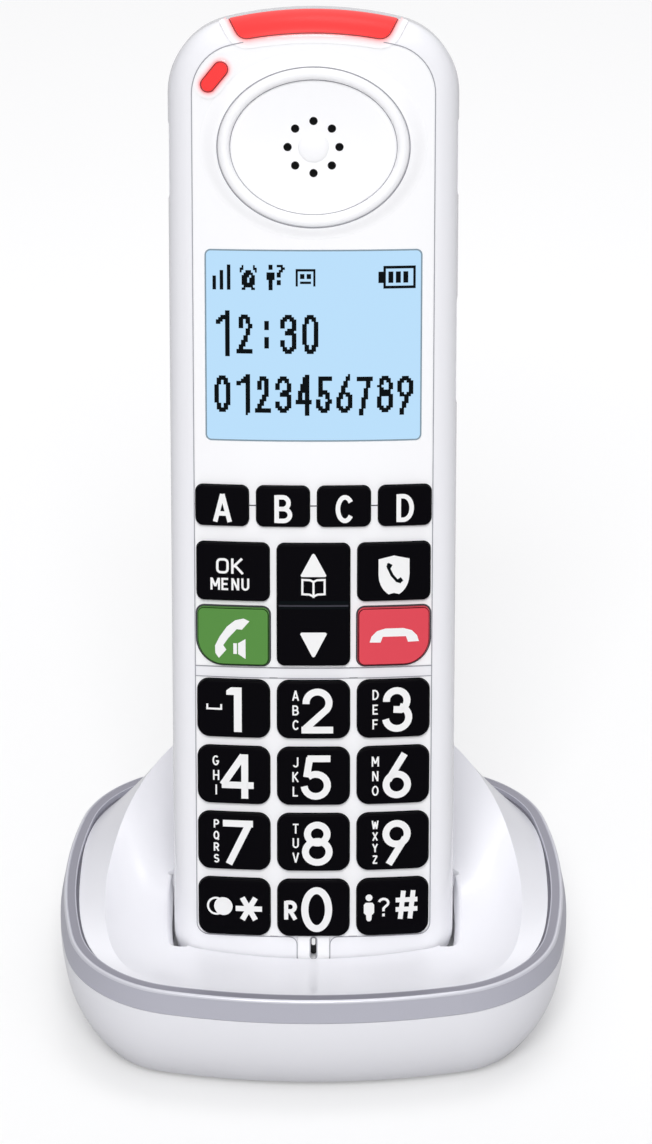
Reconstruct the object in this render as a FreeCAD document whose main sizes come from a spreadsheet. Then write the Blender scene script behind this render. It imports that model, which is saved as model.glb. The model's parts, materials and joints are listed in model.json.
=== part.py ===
"""A cordless telephone handset standing in its charging cradle, as an assembly of separate pieces.

Frame: millimetres, +Z up, the table at Z = 0, +X to the right of someone facing the phone, +Y away from them.
The cradle is centred on X = 0, Y = cradle_centre. The handset has a frame of its own: X across, Y into its
thickness from the crown of its face, and Z up its length from its foot. It leans back by handset_lean.
A face frame lies on the handset's face: X across, Y up the length, and Z out towards the user.
"""
import FreeCAD
import Part
import math
import os
import Sketcher

Vector = FreeCAD.Vector
Placement = FreeCAD.Placement
Rotation = FreeCAD.Rotation
X_AXIS = Vector(1, 0, 0)
Y_AXIS = Vector(0, 1, 0)
Z_AXIS = Vector(0, 0, 1)
doc = FreeCAD.newDocument("cordless_phone")

# ---------------------------------------------------------------- driving dimensions, in millimetres and degrees
SIZES = {
    "cradle_centre": -1.43,
    "cradle_half_width": 45.25, "cradle_half_depth": 41.8, "cradle_side_bow": 104, "cradle_end_bow": 110,
    "cradle_corner": 24, "cradle_wall": 2,
    "foot_height": 1.2, "foot_radius": 5, "foot_across": 17, "foot_along": 29,
    "belly_height": 7, "belly_half_width": 43.7, "belly_half_depth": 41.4, "belly_corner": 20,
    "floor_half_width": 39.3, "floor_half_depth": 38.4, "floor_corner": 13.5,
    "bowl_top": 15.3, "trim_bottom": 15.4, "trim_top": 19.3, "trim_width": 2.85, "trim_lean": 0.8, "trim_edge": 0.5,
    "shell_inset": 3.35, "shell_foot": 12.6, "shell_shoulder": 18.6, "shell_wall": 1.6, "pocket_gap": 0.45,
    "mouth_gap": 1.5, "mouth_foot": 3.2, "mouth_rise": 5, "mouth_front": 2.2, "mouth_corner": 2.4,
    "handset_width": 49, "handset_length": 168, "handset_depth": 25.5, "handset_lean": 15,
    "handset_setback": -21.65, "handset_lift": 10.5,
    "face_crown": 95, "top_bow": 65, "top_corner": 12.5, "bottom_corner": 8, "front_edge": 5, "back_edge": 8,
    "casing_wall": 2.4, "parting_depth": 11, "parting_gap": 0.1,
    "plate_layer": 1.25, "plate_gap": 0.08, "seam_inset": 4.15,
    "earpiece_height": 145.4, "earpiece_half_width": 16.1, "earpiece_half_height": 13.3, "earpiece_rim": 2.05,
    "earpiece_proud": 0.9, "grille_hole": 1.4, "dish_depth": 0.88, "grille_circle": 4.33,
    "message_across": -16.5, "message_height": 157, "message_length": 5.5, "message_width": 2.2,
    "message_tilt": 50.5,
    "lamp_drop": 4.9, "lamp_rise": 4, "lamp_foot_half": 12.1, "lamp_top_half": 17.3, "lamp_back": 6.2,
    "lamp_corner": 1.7,
    "window_bottom": 95.9, "window_top": 128.2, "window_width": 36.4, "window_corner": 0.9,
    "memory_row": 84.65, "memory_width": 8.95, "memory_height": 6.9, "memory_pitch": 10.37,
    "function_row": 73.2, "function_height": 10, "call_row": 61.95, "rocker_height": 21.2,
    "digit_row": 49.15, "row_pitch": 11.83, "column_pitch": 13.75,
    "button_width": 12.35, "button_height": 10.1, "button_proud": 0.9, "button_gap": 0.16, "button_foot": 5.35,
    "flange_lip": 0.4, "flange_clearance": 0.15, "rocker_clearance": 0.65, "digit_corner": 2,
    "function_corner": 1.2, "call_corner": 4.5, "button_edge": 0.35,
    "upper_seam": 84.7, "function_seam": 56.4, "digit_seam": 54.6, "chin_seam": 8.3,
    "tongue_half_width": 2.85, "tongue_foot": 3.4, "slot_height": 6.3, "slot_length": 3.8, "slot_width": 1,
    "mat_front": 6, "mat_thickness": 1.4, "board_front": 7.6, "board_thickness": 1.2, "board_half_width": 20,
    "display_front": 4.9, "display_half_width": 19.8, "cell_diameter": 10.5, "cell_length": 44.5,
    "cell_height": 58, "cell_depth": 17.5, "door_half_width": 15, "door_bottom": 52, "door_top": 110,
    "loudspeaker_height": 134, "contact_across": 9, "contact_depth": 7.8,
    "socket_across": 14, "socket_width": 12, "socket_depth": 13, "socket_height": 8.6, "socket_face": 38.9,
    "socket_foot": 3.4, "plug_width": 9.8, "plug_height": 6.2, "plug_foot": 4.9, "plug_depth": 10,
    "page_radius": 2.4, "page_half_length": 2.6, "page_height": 8.4, "page_inner": 38.2, "page_length": 4,
}


def make_sheet():
    """The spreadsheet that holds the driving dimensions, one alias a row."""
    table = doc.addObject("Spreadsheet::Sheet", "Sizes")
    for row, (alias, value) in enumerate(SIZES.items(), start=1):
        table.set(f"A{row}", alias)
        table.set(f"B{row}", str(value))
        table.setAlias(f"B{row}", alias)
    doc.recompute()
    return table


sheet = make_sheet()
pieces = []


def size(alias):
    """A driving dimension, as the sheet holds it."""
    return float(sheet.get(alias))


def bind(thing, **formulas):
    """Tie properties of a document object to formulas on the sheet, such as Length="2 * foot_radius"."""
    for prop, formula in formulas.items():
        words = formula.replace("(", " ( ").replace(")", " ) ").split()
        thing.setExpression(prop, " ".join(f"Sizes.{word}" if word in SIZES else word for word in words))


# ---------------------------------------------------------------- frames
def handset_frame(x=0, depth=0, height=0):
    """The handset's frame, moved to a place given in it."""
    foot = Vector(0, size("cradle_centre") + size("handset_setback"), size("handset_lift"))
    standing = Placement(foot, Rotation(X_AXIS, -size("handset_lean")))
    return standing * Placement(Vector(x, depth, height), Rotation())


def face_frame(x=0, depth=0, height=0):
    """A frame parallel to the handset's face, with Z out towards the user."""
    return handset_frame(x, depth, height) * Placement(Vector(), Rotation(X_AXIS, 90))


def cradle_frame(x=0, y=0, z=0):
    """The cradle's frame, moved to a place given in it."""
    return Placement(Vector(x, size("cradle_centre") + y, z), Rotation())


# ---------------------------------------------------------------- document objects
def keep(thing, label):
    """Name a finished sub-part, and list it for export."""
    thing.Label = label
    pieces.append(thing)
    return thing


def keep_shape(label, shape, placement):
    """A sub-part whose shape is worked out by Part's own functions from sizes on the sheet."""
    feature = doc.addObject("Part::Feature", label)
    feature.Shape = shape
    feature.Placement = placement
    return keep(feature, label)


def new_body(label, placement):
    """An empty PartDesign body in its place."""
    body = doc.addObject("PartDesign::Body", label)
    body.Placement = placement
    return keep(body, label)


def sketch_on(body, role="XY_Plane", lift=0):
    """A sketch on one of the body's own origin planes, lifted along that plane's normal."""
    sketch = body.newObject("Sketcher::SketchObject", f"{body.Name}_sketch")
    plane = next(item for item in body.Origin.OriginFeatures if item.Role == role)
    sketch.AttachmentSupport = [(plane, "")]
    sketch.MapMode = "FlatFace"
    sketch.AttachmentOffset = Placement(Vector(0, 0, lift), Rotation())
    return sketch


def draw_rectangle(sketch, width, height, x=0, y=0):
    """A rectangle about (x, y): width and height are formulas on the sheet's aliases or plain numbers."""
    first = len(sketch.Geometry)
    corners = [Vector(x - 1, y - 1), Vector(x + 1, y - 1), Vector(x + 1, y + 1), Vector(x - 1, y + 1)]
    for start, end in zip(corners, corners[1:] + corners[:1]):
        sketch.addGeometry(Part.LineSegment(start, end), False)
    constrain = Sketcher.Constraint
    for side in range(4):
        sketch.addConstraint(constrain("Coincident", first + side, 2, first + (side + 1) % 4, 1))
    for side, kind in enumerate(["Horizontal", "Vertical", "Horizontal", "Vertical"]):
        sketch.addConstraint(constrain(kind, first + side))
    across = sketch.addConstraint(constrain("DistanceX", first, 1, first, 2, 2))
    up = sketch.addConstraint(constrain("DistanceY", first + 1, 1, first + 1, 2, 2))
    left = sketch.addConstraint(constrain("DistanceX", -1, 1, first, 1, x - 1))
    low = sketch.addConstraint(constrain("DistanceY", -1, 1, first, 1, y - 1))
    bind(sketch, **{f"Constraints[{across}]": width, f"Constraints[{up}]": height})
    bind(sketch, **{f"Constraints[{left}]": f"{x} - ( {width} ) / 2",
                    f"Constraints[{low}]": f"{y} - ( {height} ) / 2"})


def draw_circle(sketch, radius, x=0, y=0):
    """A circle about (x, y) with its radius from a formula."""
    circle = sketch.addGeometry(Part.Circle(Vector(x, y), Z_AXIS, 1), False)
    sketch.addConstraint(Sketcher.Constraint("DistanceX", -1, 1, circle, 3, x))
    sketch.addConstraint(Sketcher.Constraint("DistanceY", -1, 1, circle, 3, y))
    fixed = sketch.addConstraint(Sketcher.Constraint("Radius", circle, 1))
    bind(sketch, **{f"Constraints[{fixed}]": radius})


def pad(body, sketch, length):
    """A pad of a formula's length along the sketch's normal."""
    feature = body.newObject("PartDesign::Pad", f"{body.Name}_pad")
    feature.Profile = sketch
    bind(feature, Length=length)
    doc.recompute()
    return feature


def cut_through(body, sketch):
    """A pocket right through the body, to both sides of its sketch."""
    before = body.Shape.Volume
    feature = body.newObject("PartDesign::Pocket", f"{body.Name}_pocket")
    feature.Profile = sketch
    feature.Type = "ThroughAll"
    feature.SideType = "Symmetric"
    doc.recompute()
    if body.Shape.Volume >= before:
        raise RuntimeError(f"the pocket in {body.Label} cut nothing")
    return feature


def round_edges(body, base, wanted, radius):
    """Fillet the edges of a feature that a test picks."""
    names = [f"Edge{index}" for index, edge in enumerate(base.Shape.Edges, start=1) if wanted(edge)]
    feature = body.newObject("PartDesign::Fillet", f"{body.Name}_fillet")
    feature.Base = (base, names)
    bind(feature, Radius=radius)
    doc.recompute()
    return feature


def is_upright(edge):
    """Whether a straight edge runs along Z."""
    return isinstance(edge.Curve, Part.Line) and abs(edge.tangentAt(edge.FirstParameter).z) > 0.999


def box_body(label, placement, width, height, thickness, corner=None):
    """A plate centred on its frame's origin, from Z = 0 to its thickness, with rounded corners."""
    body = new_body(label, placement)
    sketch = sketch_on(body)
    draw_rectangle(sketch, width, height)
    plate = pad(body, sketch, thickness)
    if corner:
        round_edges(body, plate, is_upright, corner)
    return body


def group(label, parts):
    """Identical small parts, kept apart as solids in one node."""
    compound = doc.addObject("Part::Compound", label)
    compound.Links = parts
    return keep(compound, label)


def cylinder(name, radius, height, placement):
    """A Part cylinder tied to the sheet."""
    thing = doc.addObject("Part::Cylinder", name)
    bind(thing, Radius=radius, Height=height)
    thing.Placement = placement
    return thing


# ---------------------------------------------------------------- shapes worked out in the handset's frame
def face_depth(x, inset=0):
    """How far back the crowned face lies at a distance from the middle, inset into the casing."""
    crown = size("face_crown")
    return crown - math.sqrt((crown - inset) ** 2 - x * x)


def bowed_outline(half_width, foot, apex, bow):
    """An upright outline in the XZ plane: straight sides and foot, and a bowed top."""
    shoulder = apex - bow + math.sqrt(bow ** 2 - half_width ** 2)
    low = [Vector(-half_width, 0, foot), Vector(half_width, 0, foot)]
    high = [Vector(half_width, 0, shoulder), Vector(-half_width, 0, shoulder)]
    top = Part.Arc(high[0], Vector(0, 0, apex), high[1]).toShape()
    return Part.Wire([Part.makeLine(*low), Part.makeLine(low[1], high[0]), top, Part.makeLine(high[1], low[0])])


def runs_back(edge, above):
    """Whether an edge runs along Y, above or below the middle of the handset."""
    ends = [vertex.Point for vertex in edge.Vertexes]
    if len(ends) != 2 or abs(ends[0].x - ends[1].x) > 1e-6 or abs(ends[0].z - ends[1].z) > 1e-6:
        return False
    return (ends[0].z > size("handset_length") / 2) == above


def casing(inset):
    """The handset's whole outer form, shrunk by an inset all round: negative insets grow it."""
    half_width = size("handset_width") / 2 - inset
    apex = size("handset_length") - inset
    outline = bowed_outline(half_width, inset, apex, size("top_bow") - inset)
    block = Part.Face(outline).extrude(Vector(0, size("handset_depth") - inset, 0))
    block = block.fuse(Part.Face(outline).extrude(Vector(0, min(inset, 0) * 2 - 0.01, 0))).removeSplitter()
    for above, corner in [(True, "top_corner"), (False, "bottom_corner")]:
        block = block.makeFillet(size(corner) - inset, [edge for edge in block.Edges if runs_back(edge, above)])
    crown = size("face_crown") - inset
    reach = size("handset_length") * 2
    block = block.common(Part.makeCylinder(crown, reach, Vector(0, size("face_crown"), -reach / 4), Z_AXIS))
    front = next(face for face in block.Faces
                 if isinstance(face.Surface, Part.Cylinder) and abs(face.Surface.Radius - crown) < 1e-6)
    block = block.makeFillet(size("front_edge") - inset, front.Edges)
    back_plane = size("handset_depth") - inset
    back = next(face for face in block.Faces
                if isinstance(face.Surface, Part.Plane) and abs(face.CenterOfMass.y - back_plane) < 1e-6)
    return block.makeFillet(size("back_edge") - inset - 0.01, back.Edges)


def prism(wire, front, back):
    """A closed wire in the XZ plane, carried from one depth to another."""
    face = Part.Face(wire)
    face.translate(Vector(0, front, 0))
    return face.extrude(Vector(0, back - front, 0))


def rounded_rectangle(x, height, width, tall, corner):
    """A rounded rectangle in the XZ plane about (x, height)."""
    left, right = x - width / 2, x + width / 2
    low, high = height - tall / 2, height + tall / 2
    wire = Part.makePolygon([Vector(left, 0, low), Vector(right, 0, low), Vector(right, 0, high),
                             Vector(left, 0, high), Vector(left, 0, low)])
    block = Part.Face(wire).extrude(Y_AXIS)
    block = block.makeFillet(corner, [edge for edge in block.Edges if edge.BoundBox.YLength > 0.9])
    return next(face for face in block.Faces if abs(face.CenterOfMass.y) < 1e-6).OuterWire


def ellipse(height, half_width, half_height):
    """An upright ellipse in the XZ plane about the middle line."""
    middle = Vector(0, 0, height)
    curve = Part.Ellipse(middle + X_AXIS * half_width, middle + Z_AXIS * half_height, middle)
    return Part.Wire(curve.toShape())


def capsule(x, height, length, width, angle):
    """A round-ended slot in the XZ plane, turned up by an angle."""
    straight = (length - width) / 2
    wire = rounded_rectangle(0, 0, length, width, width / 2 - 0.01)
    if straight <= 0:
        raise ValueError("a capsule is longer than it is wide")
    wire.rotate(Vector(), Y_AXIS, -angle)
    wire.translate(Vector(x, 0, height))
    return wire


def round_bar(x, height, radius, front, back):
    """A round bar along Y between two depths."""
    return Part.makeCylinder(radius, back - front, Vector(x, front, height), Y_AXIS)


# ---------------------------------------------------------------- the keys: label, middle, size and corner
def digit_keys():
    """The twelve dialling keys, as (label, x, height)."""
    names = ["1", "2", "3", "4", "5", "6", "7", "8", "9", "star", "0", "hash"]
    for index, name in enumerate(names):
        row, column = divmod(index, 3)
        yield f"key_{name}", (column - 1) * size("column_pitch"), size("digit_row") - row * size("row_pitch")


def key_list():
    """Every key on the face, as (label, x, height, width, tall, corner, outer_corner), the last four aliases."""
    for index, name in enumerate("abcd"):
        across = (index - 1.5) * size("memory_pitch")
        yield (f"key_memory_{name}", across, size("memory_row"), "memory_width", "memory_height",
               "function_corner", None)
    side = size("column_pitch")
    for name, x in [("ok_menu", -side), ("block", side)]:
        yield (f"key_{name}", x, size("function_row"), "button_width", "function_height",
               "function_corner", None)
    for name, x in [("talk", -side), ("end", side)]:
        yield (f"key_{name}", x, size("call_row"), "button_width", "button_height",
               "function_corner", "call_corner")
    rocker_middle = (size("function_row") + size("call_row")) / 2
    yield "key_nav_rocker", 0, rocker_middle, "button_width", "rocker_height", "function_corner", None
    for label, x, height in digit_keys():
        yield label, x, height, "button_width", "button_height", "digit_corner", None


def key_opening(key, gap, front, back):
    """The hole that a key needs in the face, as a prism in the handset's frame."""
    _, x, height, width, tall, corner, outer_corner = key
    wide = size(width) + 2 * gap
    high = size(tall) + 2 * gap
    hole = prism(rounded_rectangle(x, height, wide, high, size(corner) + gap), front, back)
    if not outer_corner:
        return hole
    outward = math.copysign(1, x)
    reach = size(outer_corner) + gap
    block = Part.makeBox(reach, back - front, reach)
    block.translate(Vector(x + outward * wide / 2 - (reach if outward > 0 else 0), front, height - high / 2))
    centre_x = x + outward * (wide / 2 - reach)
    round_corner = block.common(round_bar(centre_x, height - high / 2 + reach, reach, front, back))
    return hole.cut(block).fuse(round_corner)


def crown_top(body, x):
    """Trim a key to the crown of the face, standing proud of it."""
    axis_depth = size("button_foot") - size("face_crown")
    sketch = sketch_on(body, "XZ_Plane")
    draw_rectangle(sketch, "3 * face_crown", "3 * face_crown", -x, axis_depth)
    draw_circle(sketch, "face_crown + button_proud", -x, axis_depth)
    return cut_through(body, sketch)


def make_key(key):
    """One key: a flange behind the face, and a stem through it with a crowned top and softened edges."""
    label, x, height, width, tall, corner, outer_corner = key
    body = new_body(label, face_frame(x, size("button_foot"), height))
    outer_edge = abs(x) + size(width) / 2 + size("flange_lip")
    clearance = "rocker_clearance" if "rocker" in label else "flange_clearance"
    behind_face = face_depth(outer_edge, size("casing_wall"))
    flange = sketch_on(body)
    draw_rectangle(flange, f"{width} + 2 * flange_lip", f"{tall} + 2 * flange_lip")
    pad(body, flange, f"button_foot - {behind_face} - {clearance}")
    stem = sketch_on(body)
    draw_rectangle(stem, width, tall)
    block = pad(body, stem, "button_foot + button_proud")

    def at_stem(edge):
        return is_upright(edge) and abs(edge.CenterOfMass.x) < (size(width) + size("flange_lip")) / 2

    def at_outer_corner(edge):
        return bool(outer_corner) and edge.CenterOfMass.x * x > 0 and edge.CenterOfMass.y < 0

    block = round_edges(body, block, lambda edge: at_stem(edge) and not at_outer_corner(edge), corner)
    if outer_corner:
        round_edges(body, block, lambda edge: at_stem(edge) and at_outer_corner(edge) and
                    abs(edge.CenterOfMass.y) > size(tall) / 2 - 0.01, outer_corner)
    crowned = crown_top(body, x)
    top = next(face for face in crowned.Shape.Faces
               if isinstance(face.Surface, Part.Cylinder) and face.Surface.Radius > size("face_crown"))
    round_edges(body, crowned, lambda edge: any(edge.isSame(rim) for rim in top.Edges), "button_edge")


KEYS = list(key_list())
for key in KEYS:
    make_key(key)


# ---------------------------------------------------------------- the handset's front
def seam_block(foot, top, gap):
    """The part of the face inside the seam line, between two heights, shrunk by a gap."""
    inset = size("seam_inset") + gap
    front, back = -size("handset_depth"), size("parting_depth")
    half_width = size("handset_width") / 2 - inset
    wire = bowed_outline(half_width, size("chin_seam"), size("handset_length") - inset, size("top_bow") - inset)
    block = prism(wire, front, back)
    for above, corner in [(True, size("top_corner") - inset), (False, size("digit_corner"))]:
        block = block.makeFillet(corner, [edge for edge in block.Edges if runs_back(edge, above)])
    band = Part.makeBox(4 * half_width, back - front, top - foot - 2 * gap,
                        Vector(-2 * half_width, front, foot + gap))
    return block.common(band)


def tongue_block(gap):
    """The tongue that runs down from the dialling plate over the chin, around the microphone slot."""
    half_width = size("tongue_half_width") - gap
    foot = size("tongue_foot") + gap
    return prism(rounded_rectangle(0, (foot + size("digit_row") / 2) / 2, 2 * half_width,
                                   size("digit_row") / 2 - foot, half_width / 2), -1, size("parting_depth"))


def lamp_block(gap):
    """The call lamp's outline over the top edge of the handset: wider above than below."""
    low, high = size("handset_length") - size("lamp_drop"), size("handset_length") + size("lamp_rise")
    foot_half, top_half = size("lamp_foot_half") - gap, size("lamp_top_half") - gap
    bow = size("top_bow") - size("seam_inset")
    sag = bow - math.sqrt(bow ** 2 - foot_half ** 2)
    corners = [Vector(-foot_half, 0, low + gap), Vector(foot_half, 0, low + gap), Vector(top_half, 0, high),
               Vector(-top_half, 0, high)]
    edges = [Part.Arc(corners[0], Vector(0, 0, low + sag + gap), corners[1]).toShape()]
    edges += [Part.makeLine(start, end) for start, end in zip(corners[1:], corners[2:] + corners[:1])]
    block = prism(Part.Wire(edges), -3, size("lamp_back") - gap)
    lower = [edge for edge in block.Edges if runs_back(edge, True) and edge.CenterOfMass.z < size("handset_length")]
    return block.makeFillet(size("lamp_corner") - gap, lower)


def window_outline(gap):
    """The display window, grown by a gap."""
    low, high = size("window_bottom") - gap, size("window_top") + gap
    wide = size("window_width") + 2 * gap
    return rounded_rectangle(0, (low + high) / 2, wide, high - low, size("window_corner"))


def slot_outline():
    """The microphone's slot, low on the tongue."""
    return capsule(0, size("slot_height"), size("slot_length"), size("slot_width"), 90)


def message_outline(gap):
    """The message lamp: a tilted capsule beside the earpiece."""
    return capsule(size("message_across"), size("message_height"), size("message_length") + 2 * gap,
                   size("message_width") + 2 * gap, size("message_tilt"))


def scallop(side, height, length):
    """A shallow thumb scallop in the handset's side."""
    reach = size("handset_width") / 2
    radius = (length ** 2 / 4 + 1) / 2
    bar = Part.makeCylinder(radius, 5.6, Vector(side * (reach + radius - 1), 5.4, height), Y_AXIS)
    return bar.common(Part.makeBox(3, 4.8, length, Vector(side * reach - 1.5, 5.4, height - length / 2)))


# The side keys as (label, side, height, length), and the thumb scallops round them as (side, height, length).
SIDE_KEYS = [("side_key_left", -1, 142.9, 7.7), ("side_key_boost", 1, 143.4, 7.7),
             ("side_key_volume", 1, 110.6, 8.1)]
SCALLOPS = [(-1, 142.9, 13.2), (1, 143.4, 13.2), (1, 110.6, 18.6)]
SIDE_KEY_DEPTH = 7.9
SIDE_KEY_TALL = 4
SIDE_KEY_SUNK = 0.45
SIDE_FLANGE = 0.6
SCREW_PLACES = [(18.7, 90.5), (18.4, 150.2), (16, 5.2)]
FRONT_SCREWS = [(side * x, height) for x, height in SCREW_PLACES for side in (-1, 1)]


def side_key(label, side, height, length):
    """A side key: a flange behind the wall and a stem through it, pushed in towards the middle."""
    outer = size("handset_width") / 2 - SIDE_KEY_SUNK
    inwards = Placement(Vector(), Rotation(Y_AXIS, -90 * side))
    body = new_body(label, handset_frame(side * outer, SIDE_KEY_DEPTH, height) * inwards)
    stem = sketch_on(body)
    draw_rectangle(stem, str(length), str(SIDE_KEY_TALL))
    flange_start = size("casing_wall") + 0.05
    block = pad(body, stem, f"{flange_start} + {SIDE_FLANGE}")
    round_edges(body, block, is_upright, "digit_corner * 0.7")
    flange = sketch_on(body, lift=flange_start)
    draw_rectangle(flange, f"{length} + 2 * flange_lip", str(SIDE_KEY_TALL))
    pad(body, flange, str(SIDE_FLANGE))


for side_key_row in SIDE_KEYS:
    side_key(*side_key_row)


def side_key_hole(side, height, length):
    """The hole that a side key needs through the wall."""
    gap = size("button_gap")
    corner = size("digit_corner") * 0.7 + gap
    wire = rounded_rectangle(0, 0, SIDE_KEY_TALL + 2 * gap, length + 2 * gap, corner)
    hole = prism(wire, 0, 6)
    hole.rotate(Vector(), Z_AXIS, 90)
    hole.translate(Vector(side * size("handset_width") / 2 + 3, SIDE_KEY_DEPTH, height))
    return hole


def screw_boss(x, height, front, back, radius, bore):
    """A tube along Y for a screw."""
    return round_bar(x, height, radius, front, back).cut(round_bar(x, height, bore, front - 1, back + 1))


outer_form = casing(0)
inner_form = casing(size("casing_wall"))
face_layer = outer_form.cut(casing(size("plate_layer")))
PLATE_GAP = size("plate_gap")
THROUGH_FACE = (-3, size("parting_depth"))


def cut_keys(shape, margin):
    """Open a plate for every key that crosses it."""
    for key in KEYS:
        shape = shape.cut(key_opening(key, margin, *THROUGH_FACE))
    return shape


def make_front():
    """The front frame: the front half of the skin, with shelves for the plates and holes for the rest."""
    parting = size("parting_depth") - size("parting_gap") / 2
    reach = 3 * size("handset_length")
    front_half = Part.makeBox(reach, parting + 5, reach, Vector(-reach / 2, -5, -reach / 4))
    frame = outer_form.cut(inner_form).common(front_half)
    upper = seam_block(size("function_seam"), size("handset_length"), 0)
    lower = seam_block(0, size("digit_seam"), 0).fuse(tongue_block(0))
    frame = frame.cut(face_layer.common(upper.fuse(lower)))
    frame = frame.cut(face_layer.common(lamp_block(0)))
    frame = cut_keys(frame, size("button_gap"))
    frame = frame.cut(prism(window_outline(-1.5), *THROUGH_FACE))
    frame = frame.cut(prism(ellipse(size("earpiece_height"), 10.6, 8.6), *THROUGH_FACE))
    frame = frame.cut(round_bar(size("message_across"), size("message_height"), 0.8, *THROUGH_FACE))
    frame = frame.cut(prism(slot_outline(), *THROUGH_FACE))
    for spot in SCALLOPS:
        frame = frame.cut(scallop(*spot))
    for _, side, height, length in SIDE_KEYS:
        frame = frame.cut(side_key_hole(side, height, length))
    for x, height in FRONT_SCREWS:
        boss = screw_boss(x, height, 0, parting, 1.9, 0.8).common(casing(size("casing_wall") / 2))
        frame = frame.fuse(boss.cut(round_bar(x, height, 3, -3, face_depth(x, 1.8))))
    for side in (-1, 1):
        frame = frame.cut(contact_pad(side, PLATE_GAP))
    return frame


def contact_pad(side, margin):
    """A charging contact let into the handset's foot."""
    wide, deep, thick = 5 + 2 * margin, 3 + 2 * margin, 0.8 + margin
    corner = Vector(side * size("contact_across") - wide / 2, size("contact_depth") - deep / 2, 0)
    return Part.makeBox(wide, deep, thick, corner)


def boss_ring(grow):
    """The raised oval land that the earpiece ring stands on."""
    return prism(ellipse(size("earpiece_height"), size("earpiece_half_width") + grow,
                         size("earpiece_half_height") + grow), *THROUGH_FACE)


def make_plates():
    """The three thin plates let into the face, between the seams."""
    upper = face_layer.common(seam_block(size("upper_seam"), size("handset_length"), PLATE_GAP))
    upper = upper.cut(lamp_block(-PLATE_GAP)).cut(boss_ring(PLATE_GAP))
    for outline in (window_outline, message_outline):
        upper = upper.cut(prism(outline(PLATE_GAP), *THROUGH_FACE))
    keep_shape("face_plate", cut_keys(upper, size("button_gap")), handset_frame())
    middle = face_layer.common(seam_block(size("function_seam"), size("upper_seam"), PLATE_GAP))
    keep_shape("function_key_plate", cut_keys(middle, size("button_gap")), handset_frame())
    lower = face_layer.common(seam_block(0, size("digit_seam"), PLATE_GAP).fuse(tongue_block(PLATE_GAP)))
    lower = lower.cut(prism(slot_outline(), *THROUGH_FACE))
    keep_shape("digit_key_plate", cut_keys(lower, size("button_gap")), handset_frame())


def make_windows():
    """The display window, the call lamp and the message lamp."""
    keep_shape("lcd_window_lens", face_layer.common(prism(window_outline(0), *THROUGH_FACE)), handset_frame())
    keep_shape("ringer_lamp_lens", face_layer.common(lamp_block(PLATE_GAP)), handset_frame())
    proud_layer = casing(-0.3).cut(casing(size("plate_layer")))
    lamp = proud_layer.common(prism(message_outline(0), *THROUGH_FACE))
    keep_shape("message_lamp_lens", lamp, handset_frame())


def make_earpiece():
    """The raised oval ring round the earpiece, and the dished grille inside it."""
    height = size("earpiece_height")
    inner_width = size("earpiece_half_width") - size("earpiece_rim")
    inner_height = size("earpiece_half_height") - size("earpiece_rim")
    proud_layer = casing(-size("earpiece_proud")).cut(casing(size("plate_layer")))
    opening = prism(ellipse(height, inner_width, inner_height), *THROUGH_FACE)
    ring = proud_layer.common(boss_ring(0)).cut(opening)
    top = [edge for edge in ring.Edges if edge.BoundBox.YMin < -size("earpiece_proud") * 0.9]
    keep_shape("earpiece_ring", ring.makeFillet(size("earpiece_rim") / 2 - 0.2, top), handset_frame())
    dish = casing(0).cut(casing(size("plate_layer"))).common(
        prism(ellipse(height, inner_width - PLATE_GAP, inner_height - PLATE_GAP), *THROUGH_FACE))
    depth = size("dish_depth")
    radius = (inner_height ** 2 + depth ** 2) / (2 * depth)
    dish = dish.cut(Part.makeCylinder(radius, 4 * inner_width, Vector(-2 * inner_width, depth - radius, height), X_AXIS))
    for index in range(8):
        angle = math.radians(45 * index)
        across, up = size("grille_circle") * math.cos(angle), size("grille_circle") * math.sin(angle)
        dish = dish.cut(round_bar(across, height + up, size("grille_hole") / 2, *THROUGH_FACE))
    keep_shape("earpiece_grille", dish, handset_frame())


keep_shape("handset_front_frame", make_front(), handset_frame())
make_plates()
make_windows()
make_earpiece()


# ---------------------------------------------------------------- the handset's back
def back_grille():
    """The sound slots over the loudspeaker."""
    for step in range(-2, 3):
        slot_length = 16 - 3 * abs(step)
        wire = capsule(0, size("loudspeaker_height") + 2.6 * step, slot_length, 1.2, 0)
        yield prism(wire, size("handset_depth") - 4, size("handset_depth") + 1)


def door_block(grow):
    """The battery door's outline, carried through the back wall."""
    low, high = size("door_bottom") - grow, size("door_top") + grow
    wire = rounded_rectangle(0, (low + high) / 2, 2 * size("door_half_width") + 2 * grow, high - low, 2)
    return prism(wire, size("handset_depth") - size("casing_wall") - 1, size("handset_depth") + 1)


def make_back():
    """The back cover and the battery door that closes it."""
    reach = 3 * size("handset_length")
    start = size("parting_depth") + size("parting_gap") / 2
    back_half = Part.makeBox(reach, reach, reach, Vector(-reach / 2, start, -reach / 4))
    skin = outer_form.cut(inner_form)
    cover = skin.common(back_half).cut(door_block(0.12))
    for slot in back_grille():
        cover = cover.cut(slot)
    for x, height in FRONT_SCREWS:
        boss = screw_boss(x, height, start, size("handset_depth"), 2.1, 1.1)
        cover = cover.fuse(boss.common(casing(size("casing_wall") / 2)))
        cover = cover.cut(round_bar(x, height, 2, size("handset_depth") - 5, size("handset_depth") + 1))
        cover = cover.cut(round_bar(x, height, 1.1, start - 1, size("handset_depth")))
    keep_shape("handset_back_cover", cover, handset_frame())
    door = skin.common(door_block(0))
    pull_corner = Vector(-size("door_half_width") / 2, size("handset_depth") + 6.3, size("door_top") - 7)
    pull = Part.makeCylinder(7, 2 * size("door_half_width"), pull_corner, X_AXIS)
    keep_shape("battery_door", door.cut(pull.common(door_block(-6))), handset_frame())


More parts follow.
